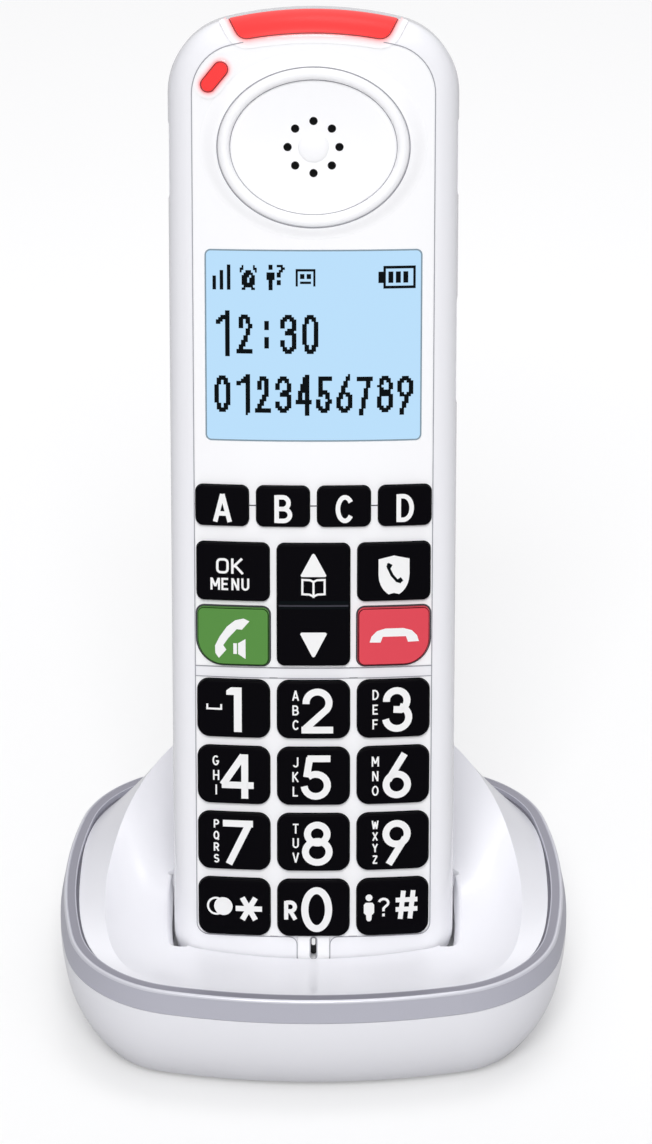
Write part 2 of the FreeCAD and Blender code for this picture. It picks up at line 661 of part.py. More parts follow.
def make_handset_screws():
    """Six screws that hold the back cover to the front frame."""
    screws = []
    for index, (x, height) in enumerate(FRONT_SCREWS):
        seat = size("handset_depth") - 5
        head = round_bar(x, height, 1.8, seat, seat + 1.4)
        shank = round_bar(x, height, 0.8, size("parting_depth") - 5, seat)
        slot = Part.makeBox(2.6, 0.8, 0.6, Vector(x - 1.3, seat + 0.8, height - 0.3))
        screws.append(head.fuse(shank).cut(slot))
    keep_shape("handset_screws", Part.makeCompound(screws), handset_frame())


# ---------------------------------------------------------------- inside the handset
def make_mat():
    """The rubber keypad mat under the keys, with a dome for each key's foot."""
    low, high = 9.4, 88.2
    box_body("keypad_mat", face_frame(0, size("mat_front") + size("mat_thickness"), (low + high) / 2),
             "39", str(high - low), "mat_thickness", "digit_corner")


def make_board():
    """The handset's circuit board, with notches for the screw bosses."""
    low, high = 10, 155.5
    depth = size("board_front") + size("board_thickness")
    middle = (low + high) / 2
    body = box_body("handset_circuit_board", face_frame(0, depth, middle), "2 * board_half_width",
                    str(high - low), "board_thickness", "digit_corner * 3")
    notches = sketch_on(body)
    for x, height in FRONT_SCREWS[:4]:
        draw_circle(notches, "2.5", x, height - middle)
    cut_through(body, notches)


def make_display():
    """The liquid crystal module behind the window: a backlit tray and the glass in it."""
    middle = (size("window_bottom") + size("window_top")) / 2
    back = size("board_front") - 0.1
    box_body("lcd_module", face_frame(0, back, middle), "2 * display_half_width", "38",
             f"{back} - display_front", "function_corner")


def round_body(label, placement, radius, height):
    """A plain round can."""
    body = new_body(label, placement)
    sketch = sketch_on(body)
    draw_circle(sketch, radius)
    pad(body, sketch, height)


def make_sound_parts():
    """The earpiece speaker, the microphone and the hands-free loudspeaker."""
    back = size("board_front") - 0.2
    round_body("earpiece_speaker", face_frame(0, back, size("earpiece_height")), "10", f"{back} - 4.1")
    round_body("microphone", face_frame(0, 5.2, size("slot_height") - 0.3), "2", "1.9")
    inner_back = size("handset_depth") - size("casing_wall") - 0.1
    round_body("handsfree_loudspeaker", face_frame(0, inner_back, size("loudspeaker_height")), "10", "4")


def make_power_parts():
    """Two cells side by side, the tray that holds them, the springs at their ends and the charging contacts."""
    radius = size("cell_diameter") / 2
    low, length, depth = size("cell_height"), size("cell_length"), size("cell_depth")
    cells = []
    for side in (-1, 1):
        can = cylinder("cell_can", "cell_diameter / 2", "cell_length - 0.8",
                       handset_frame(side * (radius + 0.25), depth, low))
        tip = cylinder("cell_tip", "1.9", "1", handset_frame(side * (radius + 0.25), depth, low + length - 1))
        cell = doc.addObject("Part::Fuse", "cell")
        cell.Base = can
        cell.Tool = tip
        cells.append(cell)
    group("battery_cells", cells)
    inside = Part.makeBox(4 * radius + 1.6, 3.6 * radius, length + 3.2,
                          Vector(-2 * radius - 0.8, depth - radius - 0.3, low - 1.6))
    tray = Part.makeBox(4 * radius + 4, 2 * radius + 1.4, length + 5.6,
                        Vector(-2 * radius - 2, depth - radius - 1.5, low - 2.8)).cut(inside)
    keep_shape("battery_tray", tray, handset_frame())
    springs = [Part.makeBox(2 * radius - 1, 8, 0.4, Vector(x - radius + 0.5, depth - 4, height))
               for x in (-radius - 0.25, radius + 0.25) for height in (low - 0.6, low + length + 0.2)]
    keep_shape("battery_contacts", Part.makeCompound(springs), handset_frame())
    pads = [contact_pad(side, 0) for side in (-1, 1)]
    keep_shape("handset_charge_contacts", Part.makeCompound(pads), handset_frame())


make_back()
make_handset_screws()
make_mat()
make_board()
make_display()
make_sound_parts()
make_power_parts()


# ---------------------------------------------------------------- the cradle's outline in plan
def plan_arcs(half_width, half_depth, corner, grow=0):
    """The radii and centres of the cradle's plan: bowed sides and ends joined by round corners."""
    side_bow, end_bow = size("cradle_side_bow"), size("cradle_end_bow")
    side_centre, end_centre = half_width - side_bow, half_depth - end_bow
    to_side, to_end = side_bow - corner, end_bow - corner
    span = math.hypot(side_centre, end_centre)
    along = (to_side ** 2 - to_end ** 2 + span ** 2) / (2 * span)
    across = math.sqrt(to_side ** 2 - along ** 2)
    run = Vector(-side_centre / span, end_centre / span, 0)
    middle = Vector(side_centre, 0, 0) + run * along + Vector(-run.y, run.x, 0) * across
    centres = [Vector(side_centre, 0, 0), Vector(0, end_centre, 0), middle]
    return *centres, side_bow + grow, end_bow + grow, corner + grow


def plan_wire(half_width, half_depth, corner, z, grow=0):
    """The cradle's outline in plan at a height, as eight tangent arcs."""
    side_at, end_at, corner_at, side_bow, end_bow, corner_bow = plan_arcs(half_width, half_depth, corner, grow)
    side_joint = side_at + (corner_at - side_at).normalize() * side_bow
    end_joint = end_at + (corner_at - end_at).normalize() * end_bow
    corner_middle = corner_at + ((side_joint + end_joint) * 0.5 - corner_at).normalize() * corner_bow
    side_middle, end_middle = Vector(side_bow + side_at.x, 0, z), Vector(0, end_bow + end_at.y, z)
    edges = []
    for turn_x, turn_y in [(1, 1), (-1, 1), (-1, -1), (1, -1)]:
        points = [Vector(point.x * turn_x, point.y * turn_y, z) for point in (side_joint, corner_middle, end_joint)]
        edges.append(Part.Arc(*points).toShape())
    ends = [[vertex.Point for vertex in edge.Vertexes] for edge in edges]
    bows = [(ends[0][1], end_middle, ends[1][1]), (ends[1][0], Vector(-side_middle.x, 0, z), ends[2][0]),
            (ends[2][1], Vector(0, -end_middle.y, z), ends[3][1]), (ends[3][0], side_middle, ends[0][0])]
    edges += [Part.Arc(*points).toShape() for points in bows]
    return Part.Wire(Part.__sortEdges__(edges))


def plan_point(angle, half_width, half_depth, corner, grow, z):
    """The point of the cradle's plan in a direction from its middle, in degrees from +X."""
    side_at, end_at, corner_at, side_bow, end_bow, corner_bow = plan_arcs(half_width, half_depth, corner, grow)
    ray = Vector(math.cos(math.radians(angle)), math.sin(math.radians(angle)), 0)
    first = Vector(abs(ray.x), abs(ray.y), 0)

    def reach(centre, radius):
        along = first.dot(centre)
        return along + math.sqrt(along ** 2 - centre.dot(centre) + radius ** 2)

    side_joint = side_at + (corner_at - side_at).normalize() * side_bow
    end_joint = end_at + (corner_at - end_at).normalize() * end_bow
    slope = math.atan2(first.y, first.x)
    if slope < math.atan2(side_joint.y, side_joint.x):
        distance = reach(side_at, side_bow)
    elif slope > math.atan2(end_joint.y, end_joint.x):
        distance = reach(end_at, end_bow)
    else:
        distance = reach(corner_at, corner_bow)
    return Vector(ray.x * distance, ray.y * distance, z)


TOP = ("cradle_half_width", "cradle_half_depth", "cradle_corner")
BELLY = ("belly_half_width", "belly_half_depth", "belly_corner")
FLOOR = ("floor_half_width", "floor_half_depth", "floor_corner")
DECK_SCREWS = [(side * x, y) for x, y in [(29.5, -15), (26, 22)] for side in (-1, 1)]


def bowl(grow, low, top):
    """The cradle's bowl-shaped underside as a solid, grown or shrunk, between two heights."""
    levels = [(FLOOR, size("foot_height")), (BELLY, size("belly_height")), (TOP, size("bowl_top"))]
    wires = [plan_wire(*[size(alias) for alias in outline], z, grow) for outline, z in levels]
    block = Part.makeLoft(wires, True, False)
    return block.common(Part.makeBox(200, 200, top - low, Vector(-100, -100, low)))


def socket_window(side, grow, front, back):
    """The rectangular opening of one of the two sockets at the cradle's back."""
    wide, high = size("plug_width") + 2 * grow, size("plug_height") + 2 * grow
    return Part.makeBox(wide, back - front, high,
                        Vector(side * size("socket_across") - wide / 2, front, size("plug_foot") - grow))


def make_bottom_shell():
    """The cradle's lower shell, with screw wells, socket windows and a hole for the page button."""
    wall = size("cradle_wall")
    low, top = size("foot_height"), size("bowl_top")
    shell = bowl(0, low, top).cut(bowl(-wall, low + wall, top))
    for x, y in DECK_SCREWS:
        shell = shell.fuse(Part.makeCylinder(4.5, 2.6, Vector(x, y, low)))
        shell = shell.cut(Part.makeCylinder(3, 1.8, Vector(x, y, low)))
        shell = shell.cut(Part.makeCylinder(1.4, 9, Vector(x, y, low)))
    for side in (-1, 1):
        shell = shell.cut(socket_window(side, 0.3, size("socket_face") - 3, 60))
    shell = shell.cut(page_button_shape(0.2, 10))
    for x, y in [(side * size("foot_across"), end * size("foot_along")) for side in (-1, 1) for end in (-1, 1)]:
        shell = shell.cut(Part.makeCylinder(size("foot_radius") + 0.1, 0.5, Vector(x, y, low)))
    keep_shape("base_bottom_shell", shell.removeSplitter(), cradle_frame())


def page_button_shape(grow, extra):
    """The page button's stem: a round-ended bar through the back wall."""
    radius, across, deep = size("page_radius") + grow, size("page_half_length"), size("page_length") + extra
    inner, height = size("page_inner"), size("page_height")
    ends = [Part.makeCylinder(radius, deep, Vector(x, inner, height), Y_AXIS) for x in (-across, across)]
    middle = Part.makeBox(2 * across, deep, 2 * radius, Vector(-across, inner, height - radius))
    return middle.fuse(ends[0]).fuse(ends[1])


def make_trim_ring():
    """The metal-look ring round the cradle's waist: its outer face leans in towards a softened top edge."""
    low, top = size("trim_bottom"), size("trim_top")
    sizes = [size(alias) for alias in TOP]
    block = Part.makeLoft([plan_wire(*sizes, low), plan_wire(*sizes, top, -size("trim_lean"))], True, True)
    rim = [edge for edge in block.Edges if edge.BoundBox.ZMin > top - 0.01]
    block = block.makeFillet(size("trim_edge"), rim)
    hole = prism_up(plan_wire(*sizes, low - 1, -size("trim_width")), top - low + 2)
    keep_shape("base_trim_ring", block.cut(hole), cradle_frame())


def prism_up(wire, height):
    """A flat wire carried upwards."""
    return Part.Face(wire).extrude(Vector(0, 0, height))


# ---------------------------------------------------------------- the cradle's top shell
# Half of each ring of points, from the middle of the front round to the middle of the back.
CREST = [(0, -37.4, 18.3), (19, -35.1, 18.1), (32.6, -27.6, 18), (36.6, -14, 20.3), (36.1, 3, 22.3),
         (33.1, 13, 26.9), (26, 17.4, 35.5), (14, 18.4, 43.4), (0, 18.4, 46.4)]
SHOULDER_ANGLES = [-90, -62, -39, -18.5, 4, 27, 48, 67, 90]
RIM = [(0, 0, 4.6), (13.5, 0.9, 5.2), (22, 3.6, 6.5), (24.9, 8.5, 8.6), (24.9, 15, 12.6),
       (24.6, 20, 20), (20, 25, 31.5), (10, 25.9, 39.6), (0, 25.9, 42.6)]


def whole_ring(half):
    """A ring of points from its right half, whose ends lie on the middle line, starting at the back."""
    return half[::-1] + [Vector(-point.x, point.y, point.z) for point in half[1:-1]]


def ring_wire(points):
    """A smooth closed curve through a ring of points."""
    curve = Part.BSplineCurve()
    curve.interpolate(points, True)
    return Part.Wire(curve.toShape())


def closed_solid(rings, smooth_from=None):
    """A solid from stacked rings, flat at both ends: straight walls between rings, or one smooth stretch."""
    faces = []
    stretches = [rings[index:index + 2] for index in range(len(rings) - 1)]
    if smooth_from is not None:
        stretches = stretches[:smooth_from] + [rings[smooth_from:smooth_from + 3]] + stretches[smooth_from + 2:]
    for stretch in stretches:
        faces += Part.makeLoft([ring_wire(points) for points in stretch], False, len(stretch) == 2).Faces
    faces += [Part.Face(ring_wire(rings[0])), Part.Face(ring_wire(rings[-1]))]
    shell = Part.makeShell(faces)
    shell.sewShape()
    solid = Part.makeSolid(shell)
    if solid.Volume < 0:
        solid.reverse()
    return solid


def outward(point):
    """The level direction from the pocket's middle to a point."""
    direction = Vector(point.x, point.y + 4, 0)
    return direction.normalize() if direction.Length > 1e-6 else direction


def mound(shrink):
    """The outside of the top shell: a skirt that leans in from the shoulder to the crest, and on above it."""
    sizes = [size(alias) for alias in TOP]
    inset = -size("shell_inset") - shrink
    foot = [plan_point(angle, *sizes, inset, size("shell_foot") - 0.1 * shrink) for angle in SHOULDER_ANGLES]
    shoulder = [Vector(point.x, point.y, size("shell_shoulder") - shrink) for point in foot]
    crest = [Vector(*point) - outward(Vector(*point)) * shrink * 0.8 - Vector(0, 0, shrink) for point in CREST]
    above = [point * 2 - base for point, base in zip(crest, shoulder)]
    above = [point + (up - point) * 0.12 for point, up in zip(crest, above)]
    level = [Vector(point.x, point.y, 60) for point in above]
    return closed_solid([whole_ring(half) for half in (foot, shoulder, crest, above, level)])


def scoop(grow):
    """The hollow fan that falls from the crest to the pocket, grown into the plastic by a wall."""
    frame = cradle_frame().inverse() * handset_frame()
    crest = [Vector(*point) for point in CREST]
    rim = [frame.multVec(Vector(*point)) for point in RIM]
    middle = [(high + low) * 0.5 - Vector(0, 0, 0.07 * (high - low).Length) + outward(high) * 0.8
              for high, low in zip(crest, rim)]
    rings = []
    for ring in (rim, middle, crest):
        rings.append([point + outward(point) * 0.6 * grow - Vector(0, 0, 0.8 * grow) for point in ring])
    deep = [frame.multVec(Vector(x * 0.6, 13 + (depth - 13) * 0.6, 3)) for x, depth, height in RIM]
    above = [point + outward(point) * 1.5 + Vector(0, 0, 2.5) for point in rings[2]]
    level = [Vector(point.x, point.y, 62) for point in above]
    return closed_solid([whole_ring(half) for half in (deep, *rings, above, level)], smooth_from=1)


MOUTH_TOP = 60


def mouth(grow):
    """Slim room beside each flank of the handset, which narrows to nothing near its foot, grown by a wall."""
    flank = size("handset_width") / 2
    outer = flank + size("mouth_gap") + grow
    foot, front = size("mouth_foot") - grow, size("mouth_front") - grow
    depth = size("handset_depth") - size("back_edge") + grow - front
    sides = []
    for side in (-1, 1):
        slope = [Vector(side * x, front, height) for x, height in
                 ((flank - size("mouth_corner"), foot), (flank + size("pocket_gap") + grow, foot),
                  (outer, foot + size("mouth_rise")), (outer, MOUTH_TOP), (flank - size("mouth_corner"), MOUTH_TOP))]
        block = Part.Face(Part.makePolygon(slope + slope[:1])).extrude(Vector(0, depth, 0))
        corners = [edge for edge in block.Edges
                   if all(abs(abs(vertex.X) - outer) < 1e-6 and abs(vertex.Y - front) < 1e-6 for vertex in edge.Vertexes)]
        sides.append(block.makeFillet(size("mouth_corner") + grow - 0.1, corners))
    return sides[0].fuse(sides[1])


def make_top_shell():
    """The cradle's top shell: a dished tray round a pocket for the handset, with a horn behind it."""
    wall, slack = size("shell_wall"), size("pocket_gap")
    to_cradle = cradle_frame().inverse() * handset_frame()

    def pocket(inset):
        block = casing(inset)
        block.Placement = to_cradle
        return block

    def columns(radius, low, high):
        return [Part.makeCylinder(radius, high - low, Vector(x, y, low)) for x, y in DECK_SCREWS]

    def flares(grow):
        block = mouth(grow)
        block.Placement = to_cradle
        return block

    well = pocket(-slack - wall).fuse(flares(wall))
    below_horn = Part.makeBox(200, 200, 50, Vector(-100, -100, 0))
    outside = mound(0).fuse(well.common(below_horn)).cut(scoop(0)).cut(pocket(-slack)).cut(flares(0))
    inside = mound(wall).cut(scoop(wall)).cut(well)
    shell = outside.cut(inside)
    foot = size("shell_foot")
    half_wall = mound(wall / 2).cut(scoop(wall / 2))
    for high, low in zip(columns(2.5, foot - 0.1, 40), columns(2.5, 4.2, foot + 0.1)):
        shell = shell.fuse(high.common(half_wall)).fuse(low)
    for bore in columns(1, 4, foot + 1):
        shell = shell.cut(bore)
    for side in (-1, 1):
        slot = contact_blade(side, 0.3)
        slot.Placement = to_cradle
        shell = shell.cut(slot)
    keep_shape("base_top_shell", shell.removeSplitter(), cradle_frame())


# ---------------------------------------------------------------- what the cradle holds
BLADE_TIP = -0.12
BLADE_FOOT = -4.6


def contact_blade(side, margin):
    """A charging contact of the cradle, which stands up through the pocket's floor."""
    corner = Vector(side * size("contact_across") - 1 - margin,
                    size("contact_depth") - 0.5 - margin, BLADE_FOOT)
    return Part.makeBox(2 + 2 * margin, 1 + 2 * margin, BLADE_TIP - BLADE_FOOT + margin, corner)


def is_tip_end(edge):
    """Whether an edge lies across the tip of a charging contact, at its left or right."""
    return edge.BoundBox.ZMin > 1 and edge.BoundBox.XLength < 0.1


def make_cradle_contacts():
    """The two charging contacts, and the block under the pocket that guides them."""
    for side, label in [(-1, "base_contact_left"), (1, "base_contact_right")]:
        foot = handset_frame(side * size("contact_across"), size("contact_depth"), BLADE_FOOT)
        body = box_body(label, foot, "2", "1", str(BLADE_TIP - BLADE_FOOT))
        round_edges(body, body.Tip, is_tip_end, "trim_edge * 0.8")
    top = -size("pocket_gap") - size("shell_wall") - 0.05
    block = Part.makeBox(26, 5, 2.2, Vector(-13, size("contact_depth") - 2.3, top - 2.2))
    for side in (-1, 1):
        block = block.cut(contact_blade(side, 0.15))
    keep_shape("contact_holder", block, handset_frame())


def make_sockets():
    """The two modular sockets at the back, for the line and for the power lead."""
    wide, deep, high = size("socket_width"), size("socket_depth"), size("socket_height")
    face, foot = size("socket_face"), size("socket_foot")
    inside_wall = bowl(-size("cradle_wall") - 0.1, size("foot_height"), size("bowl_top"))
    for side, label in [(-1, "line_socket"), (1, "power_socket")]:
        corner = Vector(side * size("socket_across") - wide / 2, face - deep, foot)
        case = Part.makeBox(wide, deep, high, corner)
        case = case.common(inside_wall).cut(socket_window(side, 0, face - size("plug_depth"), face + 1))
        keep_shape(label, case, cradle_frame())


def make_cradle_small_parts():
    """The cradle's circuit board, page button, feet and screws."""
    box_body("base_circuit_board", cradle_frame(0, 17.4, 6), "44", "16.6", "board_thickness")
    button = page_button_shape(0, 0).translated(Vector(0, -0.2, 0)).removeSplitter()
    button = button.makeFillet(0.5, [edge for edge in button.Edges if edge.BoundBox.YMin > 41.9])
    half_wide, half_tall = 6.2, 3.1
    lip = Part.makeBox(2 * half_wide, 0.9, 2 * half_tall,
                       Vector(-half_wide, size("page_inner") - 0.3, size("page_height") - half_tall))
    lip = lip.common(bowl(-size("cradle_wall") - 0.1, size("foot_height"), size("bowl_top")))
    keep_shape("page_button", button.fuse(lip).removeSplitter(), cradle_frame())
    feet = [cylinder("foot", "foot_radius", "foot_height + 0.45",
                     cradle_frame(side * size("foot_across"), end * size("foot_along")))
            for side in (-1, 1) for end in (-1, 1)]
    group("base_feet", feet)
    screws = []
    for x, y in DECK_SCREWS:
        head = Part.makeCylinder(2.7, 1.5, Vector(x, y, size("foot_height") + 0.25))
        shank = Part.makeCylinder(1, 8.2, Vector(x, y, size("foot_height") + 1.75))
        slots = [Part.makeBox(3.4, 0.7, 0.9, Vector(x - 1.7, y - 0.35, size("foot_height"))),
                 Part.makeBox(0.7, 3.4, 0.9, Vector(x - 0.35, y - 1.7, size("foot_height")))]
        screws.append(head.fuse(shank).cut(slots[0]).cut(slots[1]))
    keep_shape("base_screws", Part.makeCompound(screws), cradle_frame())


make_bottom_shell()
make_trim_ring()
make_top_shell()
make_cradle_contacts()
make_sockets()
make_cradle_small_parts()


# ---------------------------------------------------------------- check everything, then write it
def check_document():
    """Stop on any failed object, or any sub-part that is empty or broken."""
    doc.recompute()
    for thing in doc.Objects:
        if {"Invalid", "Error"} & set(thing.State):
            raise RuntimeError(f"{thing.Label} failed: {thing.State}")
    for piece in pieces:
        if piece.Shape.isNull() or not piece.Shape.isValid() or not piece.Shape.Solids:
            raise RuntimeError(f"{piece.Label} has no valid solid")
    labels = [piece.Label for piece in pieces]
    if len(set(labels)) != len(labels):
        raise RuntimeError("two sub-parts share a label")


check_document()
os.makedirs("parts", exist_ok=True)
for piece in pieces:
    piece.Shape.exportStep(f"parts/{piece.Label}.step")
print(f"{len(pieces)} sub-parts written")
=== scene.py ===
"""The looks of a cordless telephone in its charging cradle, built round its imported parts.

Everything is in metres in the parts' own frame: +Z up, +X to the right of someone facing the phone, +Y
away from them. Sizes on the handset are given in millimetres in the handset's frame: x across, depth into
its thickness from the crown of its face, and height up its length from its foot.
"""
import json
import math
import bmesh
import bpy
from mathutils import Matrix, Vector
from mathutils.bvhtree import BVHTree


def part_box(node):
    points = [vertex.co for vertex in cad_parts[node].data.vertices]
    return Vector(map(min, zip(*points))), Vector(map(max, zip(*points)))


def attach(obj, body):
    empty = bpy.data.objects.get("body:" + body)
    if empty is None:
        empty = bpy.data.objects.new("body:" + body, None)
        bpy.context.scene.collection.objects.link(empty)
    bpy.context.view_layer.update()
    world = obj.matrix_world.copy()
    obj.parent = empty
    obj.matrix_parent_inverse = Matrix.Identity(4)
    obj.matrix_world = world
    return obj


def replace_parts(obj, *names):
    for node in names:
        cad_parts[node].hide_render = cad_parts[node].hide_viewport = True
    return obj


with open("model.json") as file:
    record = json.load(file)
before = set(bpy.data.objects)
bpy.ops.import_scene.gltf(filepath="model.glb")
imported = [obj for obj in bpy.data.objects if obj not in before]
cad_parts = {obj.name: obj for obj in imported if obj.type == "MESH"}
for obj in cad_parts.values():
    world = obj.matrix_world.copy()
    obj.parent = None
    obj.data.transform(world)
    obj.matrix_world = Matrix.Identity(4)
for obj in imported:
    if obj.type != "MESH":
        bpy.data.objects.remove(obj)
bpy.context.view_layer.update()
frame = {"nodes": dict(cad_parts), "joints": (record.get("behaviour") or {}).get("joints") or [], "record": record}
MM = 0.001

# ---------------------------------------------------------------- the handset's frame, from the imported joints
JOINTS = {joint["name"]: joint for joint in frame["joints"]}
UP = Vector(JOINTS["handset_lift"]["axis"])
INTO = Vector(JOINTS["5_press"]["axis"])
ACROSS = Vector((1, 0, 0))
ROCKER_DEPTH, ROCKER_HEIGHT = 0.6, 67.575
BASE_LOW, BASE_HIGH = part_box("base_trim_ring")
BASE_MIDDLE = (BASE_LOW.y + BASE_HIGH.y) / 2
FOOT = Vector(JOINTS["nav_rocker_tilt"]["pos_m"]) - INTO * ROCKER_DEPTH * MM - UP * ROCKER_HEIGHT * MM
CROWN = 95.0
KEY_PROUD = 0.9


def at(x, depth, height):
    """A point of the handset, in millimetres, as a point in the parts' own frame."""
    return FOOT + ACROSS * (x * MM) + INTO * (depth * MM) + UP * (height * MM)


def crown_depth(x, proud=0.0):
    """How deep the crowned face lies at x, or a surface that stands proud of it."""
    return CROWN - math.sqrt((CROWN + proud) ** 2 - x * x)


# ---------------------------------------------------------------- materials
def new_material(name):
    """A material, its node tree and its shader."""
    material = bpy.data.materials.new(name)
    material.use_nodes = True
    tree = material.node_tree
    return material, tree, tree.nodes["Principled BSDF"]


def add_node(tree, kind, **values):
    """A node with its named inputs set."""
    node = tree.nodes.new(kind)
    for name, value in values.items():
        key = name.replace("_", " ")
        if key in node.inputs:
            node.inputs[key].default_value = value
        else:
            setattr(node, name, value)
    return node


def moulded(name, colour, roughness, mottle=0.008, grain=0.02, grain_scale=2500, coat=0.0, emission=None,
            strength=0.0, metallic=0.0, specular=0.5):
    """Moulded plastic or paint: a faint tone variation, an uneven gloss and a fine moulding texture."""
    material, tree, shader = new_material(name)
    shader.inputs["Roughness"].default_value = roughness
    shader.inputs["Metallic"].default_value = metallic
    shader.inputs["Coat Weight"].default_value = coat
    shader.inputs["Coat Roughness"].default_value = 0.08
    shader.inputs["Specular IOR Level"].default_value = specular
    place = add_node(tree, "ShaderNodeTexCoord")
    cloud = add_node(tree, "ShaderNodeTexNoise", Scale=25, Detail=2)
    tree.links.new(place.outputs["Object"], cloud.inputs["Vector"])
    tone = add_node(tree, "ShaderNodeMix", data_type="RGBA")
    dark = [channel * (1 - mottle) for channel in colour]
    tone.inputs[6].default_value = (*dark, 1)
    tone.inputs[7].default_value = (*[min(channel * (1 + mottle), 1) for channel in colour], 1)
    tree.links.new(cloud.outputs["Fac"], tone.inputs["Factor"])
    tree.links.new(tone.outputs[2], shader.inputs["Base Color"])
    gloss = add_node(tree, "ShaderNodeMapRange")
    gloss.inputs["To Min"].default_value = roughness * 0.85
    gloss.inputs["To Max"].default_value = roughness * 1.15
    tree.links.new(cloud.outputs["Fac"], gloss.inputs["Value"])
    tree.links.new(gloss.outputs["Result"], shader.inputs["Roughness"])
    fine = add_node(tree, "ShaderNodeTexNoise", Scale=grain_scale, Detail=2)
    tree.links.new(place.outputs["Object"], fine.inputs["Vector"])
    bump = add_node(tree, "ShaderNodeBump", Strength=grain, Distance=0.00005)
    tree.links.new(fine.outputs["Fac"], bump.inputs["Height"])
    tree.links.new(bump.outputs["Normal"], shader.inputs["Normal"])
    if emission:
        shader.inputs["Emission Color"].default_value = (*emission, 1)
        shader.inputs["Emission Strength"].default_value = strength
    return material


def from_hex(text):
    """A linear colour from an sRGB one."""
    channels = [int(text[index:index + 2], 16) / 255 for index in (0, 2, 4)]
    return [value / 12.92 if value <= 0.04045 else ((value + 0.055) / 1.055) ** 2.4 for value in channels]


WHITE = from_hex("F4F4F8")
PLATE_WHITE = from_hex("FCFCFE")
MATERIALS = {
    "white_casing": moulded("white_casing", WHITE, 0.22, coat=0.35),
    "white_plate": moulded("white_plate", PLATE_WHITE, 0.25, coat=0.3),
    "earpiece_white": moulded("earpiece_white", PLATE_WHITE, 0.3, coat=0.2),
    "cradle_white": moulded("cradle_white", from_hex("EBEBF0"), 0.3, coat=0.15),
    "trim_silver": moulded("trim_silver", from_hex("B6B6C1"), 0.45, grain=0.06, metallic=0.05),
    "key_black": moulded("key_black", from_hex("07060A"), 0.45, mottle=0.08, grain=0.08, specular=0.03),
    "key_green": moulded("key_green", from_hex("588E44"), 0.45, grain=0.06, specular=0.12),
    "key_red": moulded("key_red", from_hex("DF4A57"), 0.45, grain=0.06, specular=0.12),
    "side_key_white": moulded("side_key_white", from_hex("EAEAEE"), 0.35),
    "lamp_red": moulded("lamp_red", from_hex("A02020"), 0.35, emission=from_hex("F94646"), strength=0.66,
                        specular=0.15),
    # Painted glow: the window's pale blue is emission over a near-black base, so it looks the same whatever light
    # falls on it.
    "display_window": moulded("display_window", from_hex("101214"), 0.25, mottle=0.0,
                              emission=from_hex("BDE2FE"), strength=0.97, specular=0.1),
    "display_module": moulded("display_module", from_hex("BDE2FE"), 0.3),
    "keypad_rubber": moulded("keypad_rubber", from_hex("8C8E92"), 0.7, grain=0.2, grain_scale=1500),
    "foot_rubber": moulded("foot_rubber", from_hex("B9B9C0"), 0.75, grain=0.3, grain_scale=1200),
    "board_green": moulded("board_green", from_hex("1E5B33"), 0.4, mottle=0.15),
    "dark_plastic": moulded("dark_plastic", from_hex("202024"), 0.45, grain=0.1),
    "steel_screw": moulded("steel_screw", from_hex("B9B9BD"), 0.28, metallic=1.0, grain=0.05),
    "contact_metal": moulded("contact_metal", from_hex("D8D2C4"), 0.18, metallic=1.0),
    "cell_sleeve": moulded("cell_sleeve", from_hex("4E7F5E"), 0.3, metallic=0.3),
    "tray_grey": moulded("tray_grey", from_hex("77797E"), 0.5, grain=0.1),
}
SLOTS = {part["node"]: part["material_slot"] for part in frame["record"]["subparts"]}


def dress_nodes():
    """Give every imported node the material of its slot."""
    for name, node in frame["nodes"].items():
        node.data.materials.clear()
        node.data.materials.append(MATERIALS[SLOTS[name]])


dress_nodes()


def add_piece(name, bm, material, body):
    """A visible piece from a finished mesh, which rides on a body."""
    mesh = bpy.data.meshes.new(name)
    bm.to_mesh(mesh)
    bm.free()
    mesh.materials.append(material)
    piece = bpy.data.objects.new(name, mesh)
    bpy.context.scene.collection.objects.link(piece)
    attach(piece, body)
    return piece


def face_outward(bm):
    """Turn every face of a piece on the handset towards the front."""
    bmesh.ops.recalc_face_normals(bm, faces=bm.faces)
    for face in bm.faces:
        if face.normal.dot(INTO) > 0:
            face.normal_flip()


# ---------------------------------------------------------------- printed figures: strokes and filled shapes
def arc(x, y, across, up, start, end, steps=18):
    """Points along part of an ellipse, by angle in degrees."""
    turns = [math.radians(start + (end - start) * index / steps) for index in range(steps + 1)]
    return [(x + across * math.cos(turn), y + up * math.sin(turn)) for turn in turns]


STEM = [(0.08, 0), (0.08, 1)]
FIGURE_PEN = 0.15
